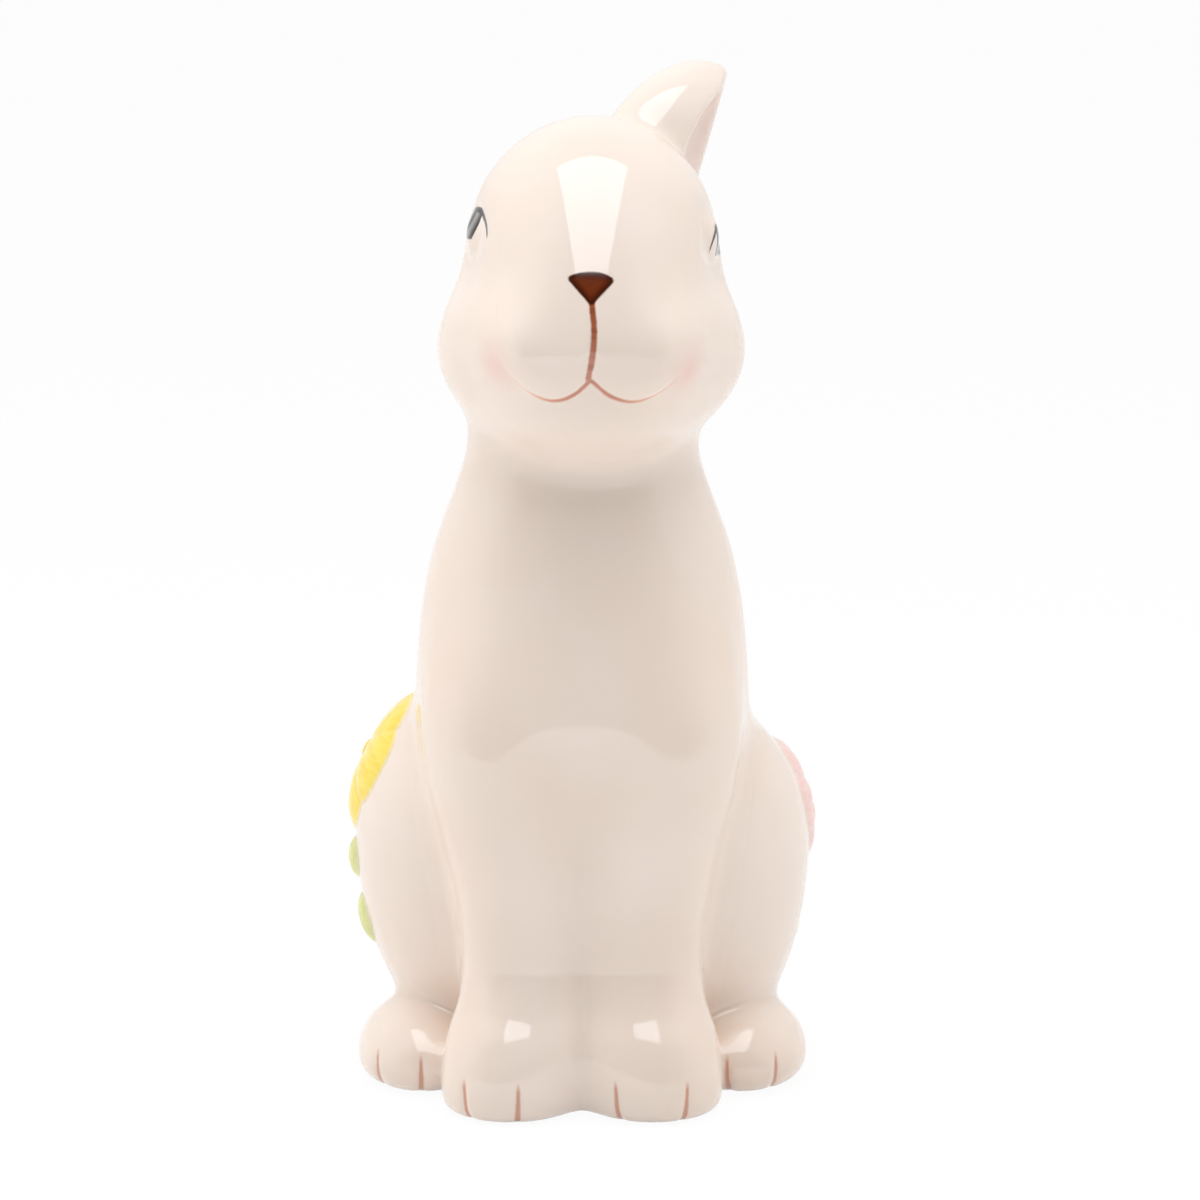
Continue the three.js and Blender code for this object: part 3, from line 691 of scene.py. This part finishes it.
EAR_CELL = 0.62
EAR_BLEND = 6.0
EAR_EDGE = 2.2
LEFT_EAR_SEAT, LEFT_EAR_STANDOFF = np.array([0.45, 0.67, 0.58]), 6.5
LEFT_EAR_AXIS = np.array([0.57, 0.64, 0.51])
LEFT_EAR_FACING = np.array([0.85, -0.5, -0.2])
LEFT_EAR_RADII = np.array([21.5, 14, 11])
LEFT_EAR_CUT = 8.8
LEFT_EAR_TRIM, LEFT_EAR_TRIM_REACH = np.array([0.962, -0.048, -0.272]), -27.2  # flat back edge of the cup
LEFT_HOLLOW_AXIS = np.array([0.2, 0.6, 0.8])
LEFT_HOLLOW_RADII = np.array([15, 7.5, 5.5])
RIGHT_EAR_SEAT, RIGHT_EAR_STANDOFF = np.array([-0.44, 0.8, -0.4]), 2.5
RIGHT_EAR_AXIS = np.array([-6.0, 5, -36])
RIGHT_EAR_FACING = np.array([-0.5, 1, 0.1])
RIGHT_EAR_RADII = np.array([25, 12, 6.5])
RIGHT_HOLLOW_RADII = np.array([18, 7.5, 4.5])
RIGHT_HOLLOW_LIFT = 6.5
EAR_PINK = (1.0, 0.81, 0.74, 1)
PINK_EDGE, PINK_SHARE = (1.6, -1.2), 0.9
PINK_FADE = 2.0  # the pink thins out this near to the head
LEFT_EAR_REACH, RIGHT_EAR_REACH = 26, 32
FAR_OUT, HALVINGS = 120.0, 60


def skin_point(form, inside, direction):
    """Where the way out from a point inside a form meets its skin."""
    near, far = 0.0, FAR_OUT
    for _ in range(HALVINGS):
        middle = (near + far) / 2
        if form((inside + direction * middle)[None])[0] < 0:
            near = middle
        else:
            far = middle
    return inside + direction * near


def ear_middle(seat, standoff):
    outward = head_turn @ unit(seat)
    return skin_point(head, head_turn @ CRANIUM[0] + head_origin, outward) + outward * standoff


left_middle = ear_middle(LEFT_EAR_SEAT, LEFT_EAR_STANDOFF)
left_rim = left_middle + unit(LEFT_EAR_FACING) * LEFT_EAR_CUT
left_frame = frame_along(LEFT_EAR_AXIS, LEFT_EAR_FACING)
left_hollow_frame = frame_along(LEFT_HOLLOW_AXIS, LEFT_EAR_FACING)
right_middle = ear_middle(RIGHT_EAR_SEAT, RIGHT_EAR_STANDOFF)
right_frame = frame_along(RIGHT_EAR_AXIS, RIGHT_EAR_FACING)


def left_hollow(p):
    return oval((p - left_rim) @ left_hollow_frame, np.zeros(3), LEFT_HOLLOW_RADII)


def left_ear(p):
    ball = oval((p - left_middle) @ left_frame, np.zeros(3), LEFT_EAR_RADII)
    cup = cut(ball, -(p - left_rim) @ unit(LEFT_EAR_FACING), EAR_EDGE)
    cup = cut(cup, LEFT_EAR_TRIM_REACH - p @ LEFT_EAR_TRIM, EAR_EDGE)
    return cut(cup, left_hollow(p), EAR_EDGE)


def right_hollow(p):
    return oval((p - right_middle) @ right_frame, np.array([0, 0, RIGHT_HOLLOW_LIFT]), RIGHT_HOLLOW_RADII)


def right_ear(p):
    ball = oval((p - right_middle) @ right_frame, np.zeros(3), RIGHT_EAR_RADII)
    return cut(ball, right_hollow(p), EAR_EDGE)


painted_ear = glaze("painted_ear", CREAM, DEEP_CREAM)
ear_tree = painted_ear.node_tree
paint_over(painted_ear, eased(ear_tree, mark(ear_tree, "hollow"), *PINK_EDGE, 0, PINK_SHARE), EAR_PINK)

for side, ear, hollow, middle, reach in [
        ("left", left_ear, left_hollow, left_middle, LEFT_EAR_REACH),
        ("right", right_ear, right_hollow, right_middle, RIGHT_EAR_REACH)]:
    def ear_marks(p):
        carrier = head_and_body(p)
        return {"crease": closeness(carrier, ear(p), EAR_BLEND) * SEAM_POOL, "bare": np.zeros(len(p)),
                "hollow": np.maximum(hollow(p), PINK_FADE - carrier)}
    ear_mesh = skin_mesh(f"glazed_{side}_ear", lambda p: luted(head_and_body, ear, EAR_BLEND, p),
                         middle - reach, middle + reach, EAR_CELL, ear_marks)
    add_piece(f"glazed_{side}_ear", ear_mesh, painted_ear, f"{side}_ear")


# Forelegs
# Two solid legs pressed in a mould and luted to the chest side by side.
# The clay between them is smoothed to a shallow valley, and brushed brown lines part the toes.

LEG_CELL = 0.8
LEG_BLEND = 14.0
CHEST_BLEND = 9.0
MIDDLE_OVERLAP = 3.0  # each leg runs this far past the middle, sloping under its neighbour
MIDDLE_SLOPE = 0.15
# Height, outer edge, half width, reach to the front and half depth
LEG_SECTIONS = [
    (0, 27.4, 13.6, 40.2, 14.2),
    (8, 27.4, 13.7, 40.8, 14.4),
    (15, 26.2, 13.2, 39, 13.6),
    (21, 24.2, 12.2, 35.4, 12.2),
    (27, 23.4, 11.8, 33.2, 11.6),
    (42, 24.6, 12.6, 34.6, 12.6),
    (52, 26.6, 13.8, 34.2, 13.4),
    (62, 28.9, 15.1, 33.5, 14),
    (76, 30.2, 16.2, 31.2, 14),
    (110, 14, 6, 14, 5),
]
LEG_REACH = (-5, -44, -2), (40, 4, 122)
PAW_ROUNDING = 6.0
TOE_HEIGHT = 9.2
TOE_GROOVE, TOE_GROOVE_WIDTH = 0.45, 0.9
TOE_WIDTH, TOE_SHARE = (0.55, 0.3), 0.95
TOE_TIP = 0.75  # a toe line fades out above this share of its height
LEG_TOES = {"left": (-30.0, 26.8), "right": (-38.5, 6.1)}  # degrees from straight ahead, seen from the paw
TOE_BROWN = (0.62, 0.30, 0.19, 1)


def on_side(reach, side):
    """The room in which the left piece's skin is looked for, or that of its fellow."""
    corners = mirrored(np.array(reach, float), side)
    return corners.min(axis=0), corners.max(axis=0)


def one_leg(p, side):
    return column(mirrored(p, side), [(z, outer - width, depth - front, width, depth)
                                      for z, outer, width, front, depth in LEG_SECTIONS])


def forelegs(p):
    return join(one_leg(p, 1), one_leg(p, -1), LEG_BLEND)


def body_and_legs(p):
    return join(torso(p), forelegs(p), CHEST_BLEND)


def leg_crease(p):
    return np.maximum(closeness(torso(p), forelegs(p), CHEST_BLEND), haunch_crease(p))


def from_toes(p, middle, angles):
    """How far round a paw each point lies from the two toe lines."""
    across, ahead = p[:, 0] - middle[0], middle[1] - p[:, 1]
    turn = np.arctan2(across, ahead)
    return [np.hypot(across, ahead) * (turn - math.radians(angle)) for angle in angles]


def toe_grooves(p, middle, angles):
    nearest = np.min(np.abs(from_toes(p, middle, angles)), axis=0)
    groove = TOE_GROOVE * np.exp(-(nearest / TOE_GROOVE_WIDTH) ** 2)
    return groove * smooth(p[:, 2], TOE_HEIGHT, TOE_HEIGHT / 2)


painted_paws = glaze("painted_paws", CREAM, DEEP_CREAM)
paw_tree = painted_paws.node_tree
paw_place = add_node(paw_tree, "ShaderNodeTexCoord", {}).outputs["Object"]
paw_height = add_node(paw_tree, "ShaderNodeSeparateXYZ", {"Vector": paw_place}).outputs["Z"]
toe_top = TOE_HEIGHT * MM
toe_width = eased(paw_tree, paw_height, 0, toe_top, *TOE_WIDTH)
toe_fade = eased(paw_tree, paw_height, toe_top, TOE_TIP * toe_top, 0, TOE_SHARE)
for toe in ("inner_toe", "outer_toe"):
    toe_line = within(paw_tree, stroke(paw_tree, mark(paw_tree, toe), toe_width), toe_fade)
    paint_over(painted_paws, toe_line, TOE_BROWN)

sole_edge, sole_width, sole_front, sole_depth = LEG_SECTIONS[0][1:]
for name, side in [("left", 1), ("right", -1)]:
    leg_middle = side * (sole_edge - sole_width), sole_depth - sole_front

    def leg(p):
        whole = luted(torso, forelegs, CHEST_BLEND, p) + toe_grooves(p, leg_middle, LEG_TOES[name])
        whole = whole + MIDDLE_SLOPE * np.maximum(-p[:, 0] * side, 0)
        return np.maximum(on_floor(whole, p, PAW_ROUNDING), -p[:, 0] * side - MIDDLE_OVERLAP)

    def leg_marks(p):
        inner, outer = from_toes(p, leg_middle, LEG_TOES[name])
        return {"crease": leg_crease(p), "bare": sole(p), "inner_toe": inner, "outer_toe": outer}

    leg_mesh = skin_mesh(f"glazed_{name}_foreleg", leg, *on_side(LEG_REACH, side), LEG_CELL, leg_marks)
    add_piece(f"glazed_{name}_foreleg", leg_mesh, painted_paws, f"{name}_foreleg")


# Hind paws
# Two solid oval paws of the same clay, luted under the haunches with the toes turned out.
# Brown lines part their toes as on the forelegs, and their soles are wiped bare.

PAW_CELL = 0.7
PAW_REACH = (10, -30, -2), (54, 24, 26)
PAW_CENTRE = np.array([32.2, -3, 5.4])
PAW_RADII = np.array([12.4, 17.5, 11])
PAW_TURN = math.radians(8)
PAW_BLEND = 6.0
PAW_TOES = {"left": (-12.5, 22.8), "right": (-35.2, 1.9)}

paw_frame = np.array([
    [math.cos(PAW_TURN), math.sin(PAW_TURN), 0],
    [-math.sin(PAW_TURN), math.cos(PAW_TURN), 0],
    [0, 0, 1],
])


def hind_paw(p, side):
    return oval((mirrored(p, side) - PAW_CENTRE) @ paw_frame, np.zeros(3), PAW_RADII)


for name, side in [("left", 1), ("right", -1)]:
    paw_middle = side * PAW_CENTRE[0], PAW_CENTRE[1]

    def paw(p):
        whole = luted(body_and_legs, lambda q: hind_paw(q, side), PAW_BLEND, p)
        return on_floor(whole + toe_grooves(p, paw_middle, PAW_TOES[name]), p, PAW_ROUNDING)

    def paw_marks(p):
        inner, outer = from_toes(p, paw_middle, PAW_TOES[name])
        crease = np.maximum(closeness(body_and_legs(p), hind_paw(p, side), PAW_BLEND), leg_crease(p))
        return {"crease": crease, "bare": sole(p), "inner_toe": inner, "outer_toe": outer}

    paw_mesh = skin_mesh(f"glazed_{name}_hind_paw", paw, *on_side(PAW_REACH, side), PAW_CELL, paw_marks)
    add_piece(f"glazed_{name}_hind_paw", paw_mesh, painted_paws, f"{name}_hind_paw")


# Tail
# A solid ball of clay, rolled by hand and dipped in the same cream glaze.
# It is luted low on the rump, and its seam is smoothed with slip.

TAIL_CELL = 0.7
TAIL_REACH = 17
TAIL_HEIGHT = 19.0
TAIL_STANDOFF = 0.2
TAIL_RADII = np.array([10.5, 9.4, 10])
TAIL_BLEND = 4.0

tail_middle = skin_point(torso, np.array([0, 0, TAIL_HEIGHT]), np.array([0, 1.0, 0]))
tail_middle = tail_middle + np.array([0, TAIL_STANDOFF, 0])


def tail(p):
    return oval(p, tail_middle, TAIL_RADII)


def tail_marks(p):
    return {"crease": closeness(torso(p), tail(p), TAIL_BLEND), "bare": sole(p)}


tail_mesh = skin_mesh("glazed_tail", lambda p: luted(torso, tail, TAIL_BLEND, p),
                      tail_middle - TAIL_REACH, tail_middle + TAIL_REACH, TAIL_CELL, tail_marks)
add_piece("glazed_tail", tail_mesh, cream_glaze, "tail")


# Flower sprigs
# Petals, leaves and flower centres pressed in a mould, luted on and painted under the glaze.
# The yellow flower is on the right haunch, the pink one on the left, each with two pale green leaves.

PETALS = 5
PETAL_ROOT = -1.0
PETAL_BREADTH = 0.55  # half width for each millimetre of the flower's radius
PETAL_EGG = 0.3
CENTRE_RADIUS, CENTRE_THICKNESS = 3.2, 1.9
LEAF_THICKNESS, LEAF_POINT = 1.8, 1.5
SPRIG_SINK = 0.6
SPRIG_RINGS, SPRIG_STEPS = 12, 48
VEIN_DEPTH, VEIN_WIDTH = 0.18, 0.12
CAST_FROM, CAST_LENGTH = 14.0, 56.0  # the sprigs are dropped onto the haunch from this far out
BLUR_ROUNDS = 4
STREAK_SCALE, STREAK_STRETCH, STREAK_SHARE = 2.2, (3, 0.7, 1), 0.75
RIM_HEIGHT, RIM_SHARE = 0.4, 0.65

YELLOW, DEEP_YELLOW = (0.94, 0.74, 0.13, 1), (0.92, 0.62, 0.05, 1)
AMBER, DEEP_AMBER = (0.92, 0.62, 0.06, 1), (0.88, 0.48, 0.03, 1)
PINK, DEEP_PINK = (0.93, 0.66, 0.60, 1), (0.89, 0.54, 0.49, 1)
GREEN, DEEP_GREEN = (0.78, 0.78, 0.36, 1), (0.62, 0.68, 0.24, 1)


def relief_mesh(name, start, end, half_width, thickness, sharpness, egg, vein):
    """A closed pillow on the plane, pointed by its sharpness and wider to its end by the egg."""
    turn = np.linspace(0, 2 * math.pi, SPRIG_STEPS, endpoint=False)
    share = np.linspace(0, 1, SPRIG_RINGS + 1)[1:, None]
    along = share * np.cos(turn)
    across = share * np.sign(np.sin(turn)) * np.abs(np.sin(turn)) ** sharpness
    dome = 1 - share ** 3
    groove = vein * np.exp(-(across / VEIN_WIDTH) ** 2) * (1 - share ** 2)
    x = (start + end) / 2 + (end - start) / 2 * along
    y = half_width * across * (1 + egg * along)
    top = np.stack([x, y, -SPRIG_SINK + (thickness + SPRIG_SINK) * dome - groove], 2)
    under = np.stack([x, y, np.broadcast_to(-SPRIG_SINK * (1 + dome), x.shape)], 2)[:-1]
    middle = (start + end) / 2
    peaks = [[middle, 0, thickness - vein], [middle, 0, -2 * SPRIG_SINK]]
    points = np.concatenate([top.reshape(-1, 3), under.reshape(-1, 3), peaks])
    peak, pit = len(points) - 2, len(points) - 1
    rings = np.arange(peak).reshape(-1, SPRIG_STEPS)
    upper = rings[:SPRIG_RINGS]
    lower = np.concatenate([rings[SPRIG_RINGS:], rings[SPRIG_RINGS - 1:SPRIG_RINGS]])
    faces = []
    for step in range(SPRIG_STEPS):
        after = (step + 1) % SPRIG_STEPS
        faces.append([peak, upper[0, step], upper[0, after]])
        faces.append([pit, lower[0, after], lower[0, step]])
        for a, b in zip(range(SPRIG_RINGS - 1), range(1, SPRIG_RINGS)):
            faces.append([upper[a, step], upper[b, step], upper[b, after], upper[a, after]])
            faces.append([lower[a, after], lower[b, after], lower[b, step], lower[a, step]])
    mesh = bpy.data.meshes.new(name)
    mesh.from_pydata((points * MM).tolist(), [], faces)
    for key, values in [("along", along), ("across", across)]:
        values = np.concatenate([values.ravel(), values[:-1].ravel(), [0, 0]]).astype(np.float32)
        mesh.attributes.new(key, "FLOAT", "POINT").data.foreach_set("value", values)
    return mesh


sprig_tree = bpy.data.node_groups.new("sprig", "GeometryNodeTree")
for kind, name in [("Geometry", "Geometry"), ("Object", "Petal"), ("Object", "Body"), ("Int", "Petals"),
                   ("Float", "Turn"), ("Vector", "Seat"), ("Vector", "Facing"), ("Material", "Paint")]:
    sprig_tree.interface.new_socket(name, in_out="INPUT", socket_type=f"NodeSocket{kind}")
sprig_tree.interface.new_socket("Geometry", in_out="OUTPUT", socket_type="NodeSocketGeometry")


def sprig_node(kind, inputs, **settings):
    """One step of the tree that sets a sprig on the body."""
    return add_node(sprig_tree, kind, inputs, **settings)


def sprig_shape(kind, inputs, **settings):
    """The shape that such a step hands on."""
    return sprig_node(f"GeometryNode{kind}", inputs, **settings).outputs["Geometry"]


def sprig_vector(operation, a, b):
    key = "Scale" if operation == "SCALE" else 1
    return sprig_node("ShaderNodeVectorMath", {0: a, key: b}, operation=operation).outputs[0]


# The petals are set round a point
given = sprig_node("NodeGroupInput", {}).outputs
ring = sprig_node("GeometryNodeMeshLine", {"Count": given["Petals"], "Offset": (0, 0, 0)}).outputs["Mesh"]
number = sprig_node("GeometryNodeInputIndex", {}).outputs["Index"]
spacing = math_node(sprig_tree, "DIVIDE", 2 * math.pi, given["Petals"])
petal_turn = math_node(sprig_tree, "MULTIPLY", number, spacing)
petal_turn = math_node(sprig_tree, "ADD", petal_turn, given["Turn"])
petal_euler = sprig_node("ShaderNodeCombineXYZ", {"Z": petal_turn}).outputs["Vector"]
petal_rotation = sprig_node("FunctionNodeEulerToRotation", {"Euler": petal_euler}).outputs["Rotation"]
petal = sprig_shape("ObjectInfo", {"Object": given["Petal"]})
copies = sprig_node("GeometryNodeInstanceOnPoints", {
    "Points": ring, "Instance": petal, "Rotation": petal_rotation}).outputs["Instances"]
flower = sprig_shape("RealizeInstances", {"Geometry": copies})

# The flower is held out flat in front of its seat
place = sprig_node("GeometryNodeInputPosition", {}).outputs["Position"]
lift = sprig_node("ShaderNodeSeparateXYZ", {"Vector": place}).outputs["Z"]
flower = sprig_shape("StoreNamedAttribute", {
    "Geometry": flower, "Name": "relief", "Value": lift}, data_type="FLOAT")
flat = sprig_vector("ADD", sprig_vector("MULTIPLY", place, (1, 1, 0)), (0, 0, CAST_FROM * MM))
flower = sprig_shape("SetPosition", {"Geometry": flower, "Position": flat})
facing = sprig_node("FunctionNodeEulerToRotation", {"Euler": given["Facing"]}).outputs["Rotation"]
flower = sprig_shape("Transform", {"Geometry": flower, "Translation": given["Seat"], "Rotation": facing})

# Each point drops onto the haunch and rises by its own relief
body = sprig_shape("ObjectInfo", {"Object": given["Body"]})
body_normal = sprig_node("GeometryNodeInputNormal", {}).outputs["Normal"]
inward = sprig_node("FunctionNodeRotateVector", {"Vector": (0, 0, -1), "Rotation": facing}).outputs["Vector"]
drop = sprig_node("GeometryNodeRaycast", {
    "Target Geometry": body, "Attribute": body_normal, "Ray Direction": inward,
    "Ray Length": CAST_LENGTH * MM}, data_type="FLOAT_VECTOR", mapping="INTERPOLATED").outputs
depth, outward = [
    sprig_node("GeometryNodeBlurAttribute", {"Value": drop[key], "Iterations": BLUR_ROUNDS},
               data_type=kind).outputs["Value"]
    for key, kind in [("Hit Distance", "FLOAT"), ("Attribute", "FLOAT_VECTOR")]]
relief = sprig_node("GeometryNodeInputNamedAttribute", {"Name": "relief"},
                    data_type="FLOAT").outputs["Attribute"]
landed = sprig_vector("ADD", place, sprig_vector("SCALE", inward, depth))
landed = sprig_vector("ADD", landed, sprig_vector("SCALE", outward, relief))
flower = sprig_shape("SetPosition", {"Geometry": flower, "Position": landed})
flower = sprig_shape("SetShadeSmooth", {"Geometry": flower})
flower = sprig_shape("SetMaterial", {"Geometry": flower, "Material": given["Paint"]})
sprig_node("NodeGroupOutput", {"Geometry": flower})
sprig_inputs = {item.name: item.identifier for item in sprig_tree.interface.items_tree
                if item.in_out == "INPUT"}


def painted_relief(name, colour, deep_colour):
    """Underglaze colour brushed on from the root, thin over the rim so that the cream shows through."""
    material = glaze(name, colour, colour)
    tree = material.node_tree
    strokes = add_node(tree, "ShaderNodeCombineXYZ", {"X": mark(tree, "across"), "Y": mark(tree, "along")})
    streaks = noise(tree, strokes.outputs["Vector"], STREAK_SCALE, 3, STREAK_STRETCH)
    paint_over(material, eased(tree, streaks, 0.42, 0.68, 0, STREAK_SHARE), deep_colour)
    paint_over(material, eased(tree, mark(tree, "relief"), RIM_HEIGHT * MM, 0, 0, RIM_SHARE), CREAM)
    return material


def add_sprig(name, mesh, petals, turn, seat, paint):
    """Sets a relief round its seat on the haunch, then keeps the result as a mesh of its own."""
    side = np.sign(seat[0])
    root = skin_point(torso, mirrored(HAUNCH_CENTRE, side), unit(np.array(seat, float)))
    outward = unit(slope_of(torso, root[None])[0])
    across = unit(np.cross([0, 0, 1], outward))
    axes = np.stack([across, np.cross(outward, across), outward], 1)
    source = bpy.data.objects.new(f"{name}_relief", mesh)
    piece = bpy.data.objects.new(f"painted_{name}", bpy.data.meshes.new(f"painted_{name}"))
    bpy.context.scene.collection.objects.link(piece)
    modifier = piece.modifiers.new("sprig", "NODES")
    modifier.node_group = sprig_tree
    given_values = {
        "Petal": source, "Body": glazed_body, "Petals": petals, "Turn": math.radians(turn),
        "Seat": root * MM, "Facing": Matrix(axes.tolist()).to_euler(), "Paint": paint}
    for key, value in given_values.items():
        modifier[sprig_inputs[key]] = value
    placed = piece.evaluated_get(bpy.context.evaluated_depsgraph_get())
    made = bpy.data.meshes.new_from_object(placed)
    piece.modifiers.remove(modifier)
    piece.data = made
    bpy.data.objects.remove(source)
    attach(piece, "root")
    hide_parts(name)


yellow_glaze = painted_relief("yellow_glaze", YELLOW, DEEP_YELLOW)
amber_glaze = painted_relief("amber_glaze", AMBER, DEEP_AMBER)
pink_glaze = painted_relief("pink_glaze", PINK, DEEP_PINK)
green_glaze = painted_relief("green_glaze", GREEN, DEEP_GREEN)

for colour, seat, radius, thickness, turn, paint, centre_paint, centre_slot in [
        ("yellow", (-18.2, 2.6, 14.3), 16.5, 1.9, 2, yellow_glaze, amber_glaze, "amber_glaze"),
        ("pink", (21, 9, 5.5), 14, 1.8, 36, pink_glaze, yellow_glaze, "yellow_glaze")]:
    petal_mesh = relief_mesh(f"{colour}_petal", PETAL_ROOT, radius, PETAL_BREADTH * radius,
                             thickness, 1, PETAL_EGG, VEIN_DEPTH)
    add_sprig(f"{colour}_flower", petal_mesh, PETALS, turn, seat, paint)
    button = relief_mesh(f"{colour}_button", -CENTRE_RADIUS, CENTRE_RADIUS, CENTRE_RADIUS,
                         CENTRE_THICKNESS, 1, 0, 0)
    add_sprig(f"{colour}_flower_centre", button, 1, turn, seat, centre_paint)

for name, seat, length, width, turn in [
        ("yellow_flower_upper_leaf", (-22.9, 0, -6), 10.5, 7.5, 80),
        ("yellow_flower_lower_leaf", (-21, -3, -18), 12, 8.5, 105),
        ("pink_flower_upper_leaf", (14, 24, -14), 13, 8.5, -60),
        ("pink_flower_lower_leaf", (19, 8, -22), 13, 8.5, -75)]:
    leaf = relief_mesh(f"{name}_blank", -length / 2, length / 2, width / 2,
                       LEAF_THICKNESS, LEAF_POINT, 0, VEIN_DEPTH)
    add_sprig(name, leaf, 1, turn, seat, green_glaze)


# Studio
# A white paper floor under soft boxes: one overhead in front, one on each side.
# A low card in front lifts the shade under the chin, and the room behind is white.

TARGET = Vector((0.0035, 0, 0.096))
DISTANCE = 1.0
ELEVATION = math.radians(10)
LENS, FILM_WIDTH = 152.2, 36
FLOOR_REACH = 6.0
PAPER = (0.9, 0.9, 0.9, 1)
PAPER_GLOW = 0.95  # the share of plain white in the floor where it is looked at
ROOM_EDGE, ROOM_LIGHT = (-0.75, -0.15), 0.86


def lamp(name, place, target, size, power, colour=(1, 1, 1), shows=False):
    """A soft box. Only one that shows leaves its own bright shape on the glaze."""
    data = bpy.data.lights.new(name, "AREA")
    data.shape = "RECTANGLE"
    data.size, data.size_y = size
    data.energy = power
    data.color = colour
    light = bpy.data.objects.new(name, data)
    light.location = place
    light.rotation_euler = (Vector(target) - Vector(place)).to_track_quat("-Z", "Y").to_euler()
    light.visible_glossy = shows
    bpy.context.scene.collection.objects.link(light)


lamp("top_box", (0, -0.4, 1.0), (0, -0.399, 0), (0.8, 1.04), 7.4, (0.95, 1, 1.08), True)
lamp("left_box", (-1.0, 0.25, 0.45), (0, 0, 0.1), (0.8, 1.1), 3.4)
lamp("right_box", (1.0, 0.25, 0.45), (0, 0, 0.1), (0.8, 1.1), 1.45)
lamp("low_card", (0, -0.6, 0.03), (0, 0, 0.14), (0.9, 0.3), 0.6)

floor_mesh = bpy.data.meshes.new("floor")
floor_corners = [(x * FLOOR_REACH, y * FLOOR_REACH, 0) for x, y in [(-1, -1), (1, -1), (1, 1), (-1, 1)]]
floor_mesh.from_pydata(floor_corners, [], [(0, 1, 2, 3)])
floor = bpy.data.objects.new("floor", floor_mesh)
bpy.context.scene.collection.objects.link(floor)

floor_paint = bpy.data.materials.new("white_floor")
floor_paint.use_nodes = True
floor_tree = floor_paint.node_tree
floor_tree.nodes.clear()
rays = add_node(floor_tree, "ShaderNodeLightPath", {})
seen = math_node(floor_tree, "MAXIMUM", rays.outputs["Is Camera Ray"], rays.outputs["Is Glossy Ray"])
seen = math_node(floor_tree, "MAXIMUM", seen, rays.outputs["Is Transmission Ray"])
paper = add_node(floor_tree, "ShaderNodeBsdfDiffuse", {"Color": PAPER})
white = add_node(floor_tree, "ShaderNodeEmission", {"Color": (1, 1, 1, 1), "Strength": 1.0})
glow = math_node(floor_tree, "MULTIPLY", seen, PAPER_GLOW)
both = add_node(floor_tree, "ShaderNodeMixShader", {
    0: glow, 1: paper.outputs["BSDF"], 2: white.outputs["Emission"]})
add_node(floor_tree, "ShaderNodeOutputMaterial", {"Surface": both.outputs["Shader"]})
floor_mesh.materials.append(floor_paint)

world = bpy.data.worlds.new("studio")
bpy.context.scene.world = world
world.use_nodes = True
sky = world.node_tree
sky.nodes.clear()
sky_rays = add_node(sky, "ShaderNodeLightPath", {})
direction = add_node(sky, "ShaderNodeTexCoord", {}).outputs["Generated"]
rearward = add_node(sky, "ShaderNodeSeparateXYZ", {"Vector": direction}).outputs["Y"]
room = eased(sky, rearward, *ROOM_EDGE, 0, ROOM_LIGHT)
level = math_node(sky, "MAXIMUM", room, sky_rays.outputs["Is Camera Ray"])
backdrop = add_node(sky, "ShaderNodeBackground", {"Color": (1, 1, 1, 1), "Strength": level})
add_node(sky, "ShaderNodeOutputWorld", {"Surface": backdrop.outputs["Background"]})

camera_data = bpy.data.cameras.new("camera")
camera_data.lens = LENS
camera_data.sensor_width = FILM_WIDTH
camera_data.clip_start, camera_data.clip_end = 0.05, 50
camera = bpy.data.objects.new("camera", camera_data)
camera.location = TARGET + DISTANCE * Vector((0, -math.cos(ELEVATION), math.sin(ELEVATION)))
camera.rotation_euler = (TARGET - camera.location).to_track_quat("-Z", "Y").to_euler()
bpy.context.scene.collection.objects.link(camera)
bpy.context.scene.camera = camera
bpy.context.scene.view_settings.view_transform = "Standard"
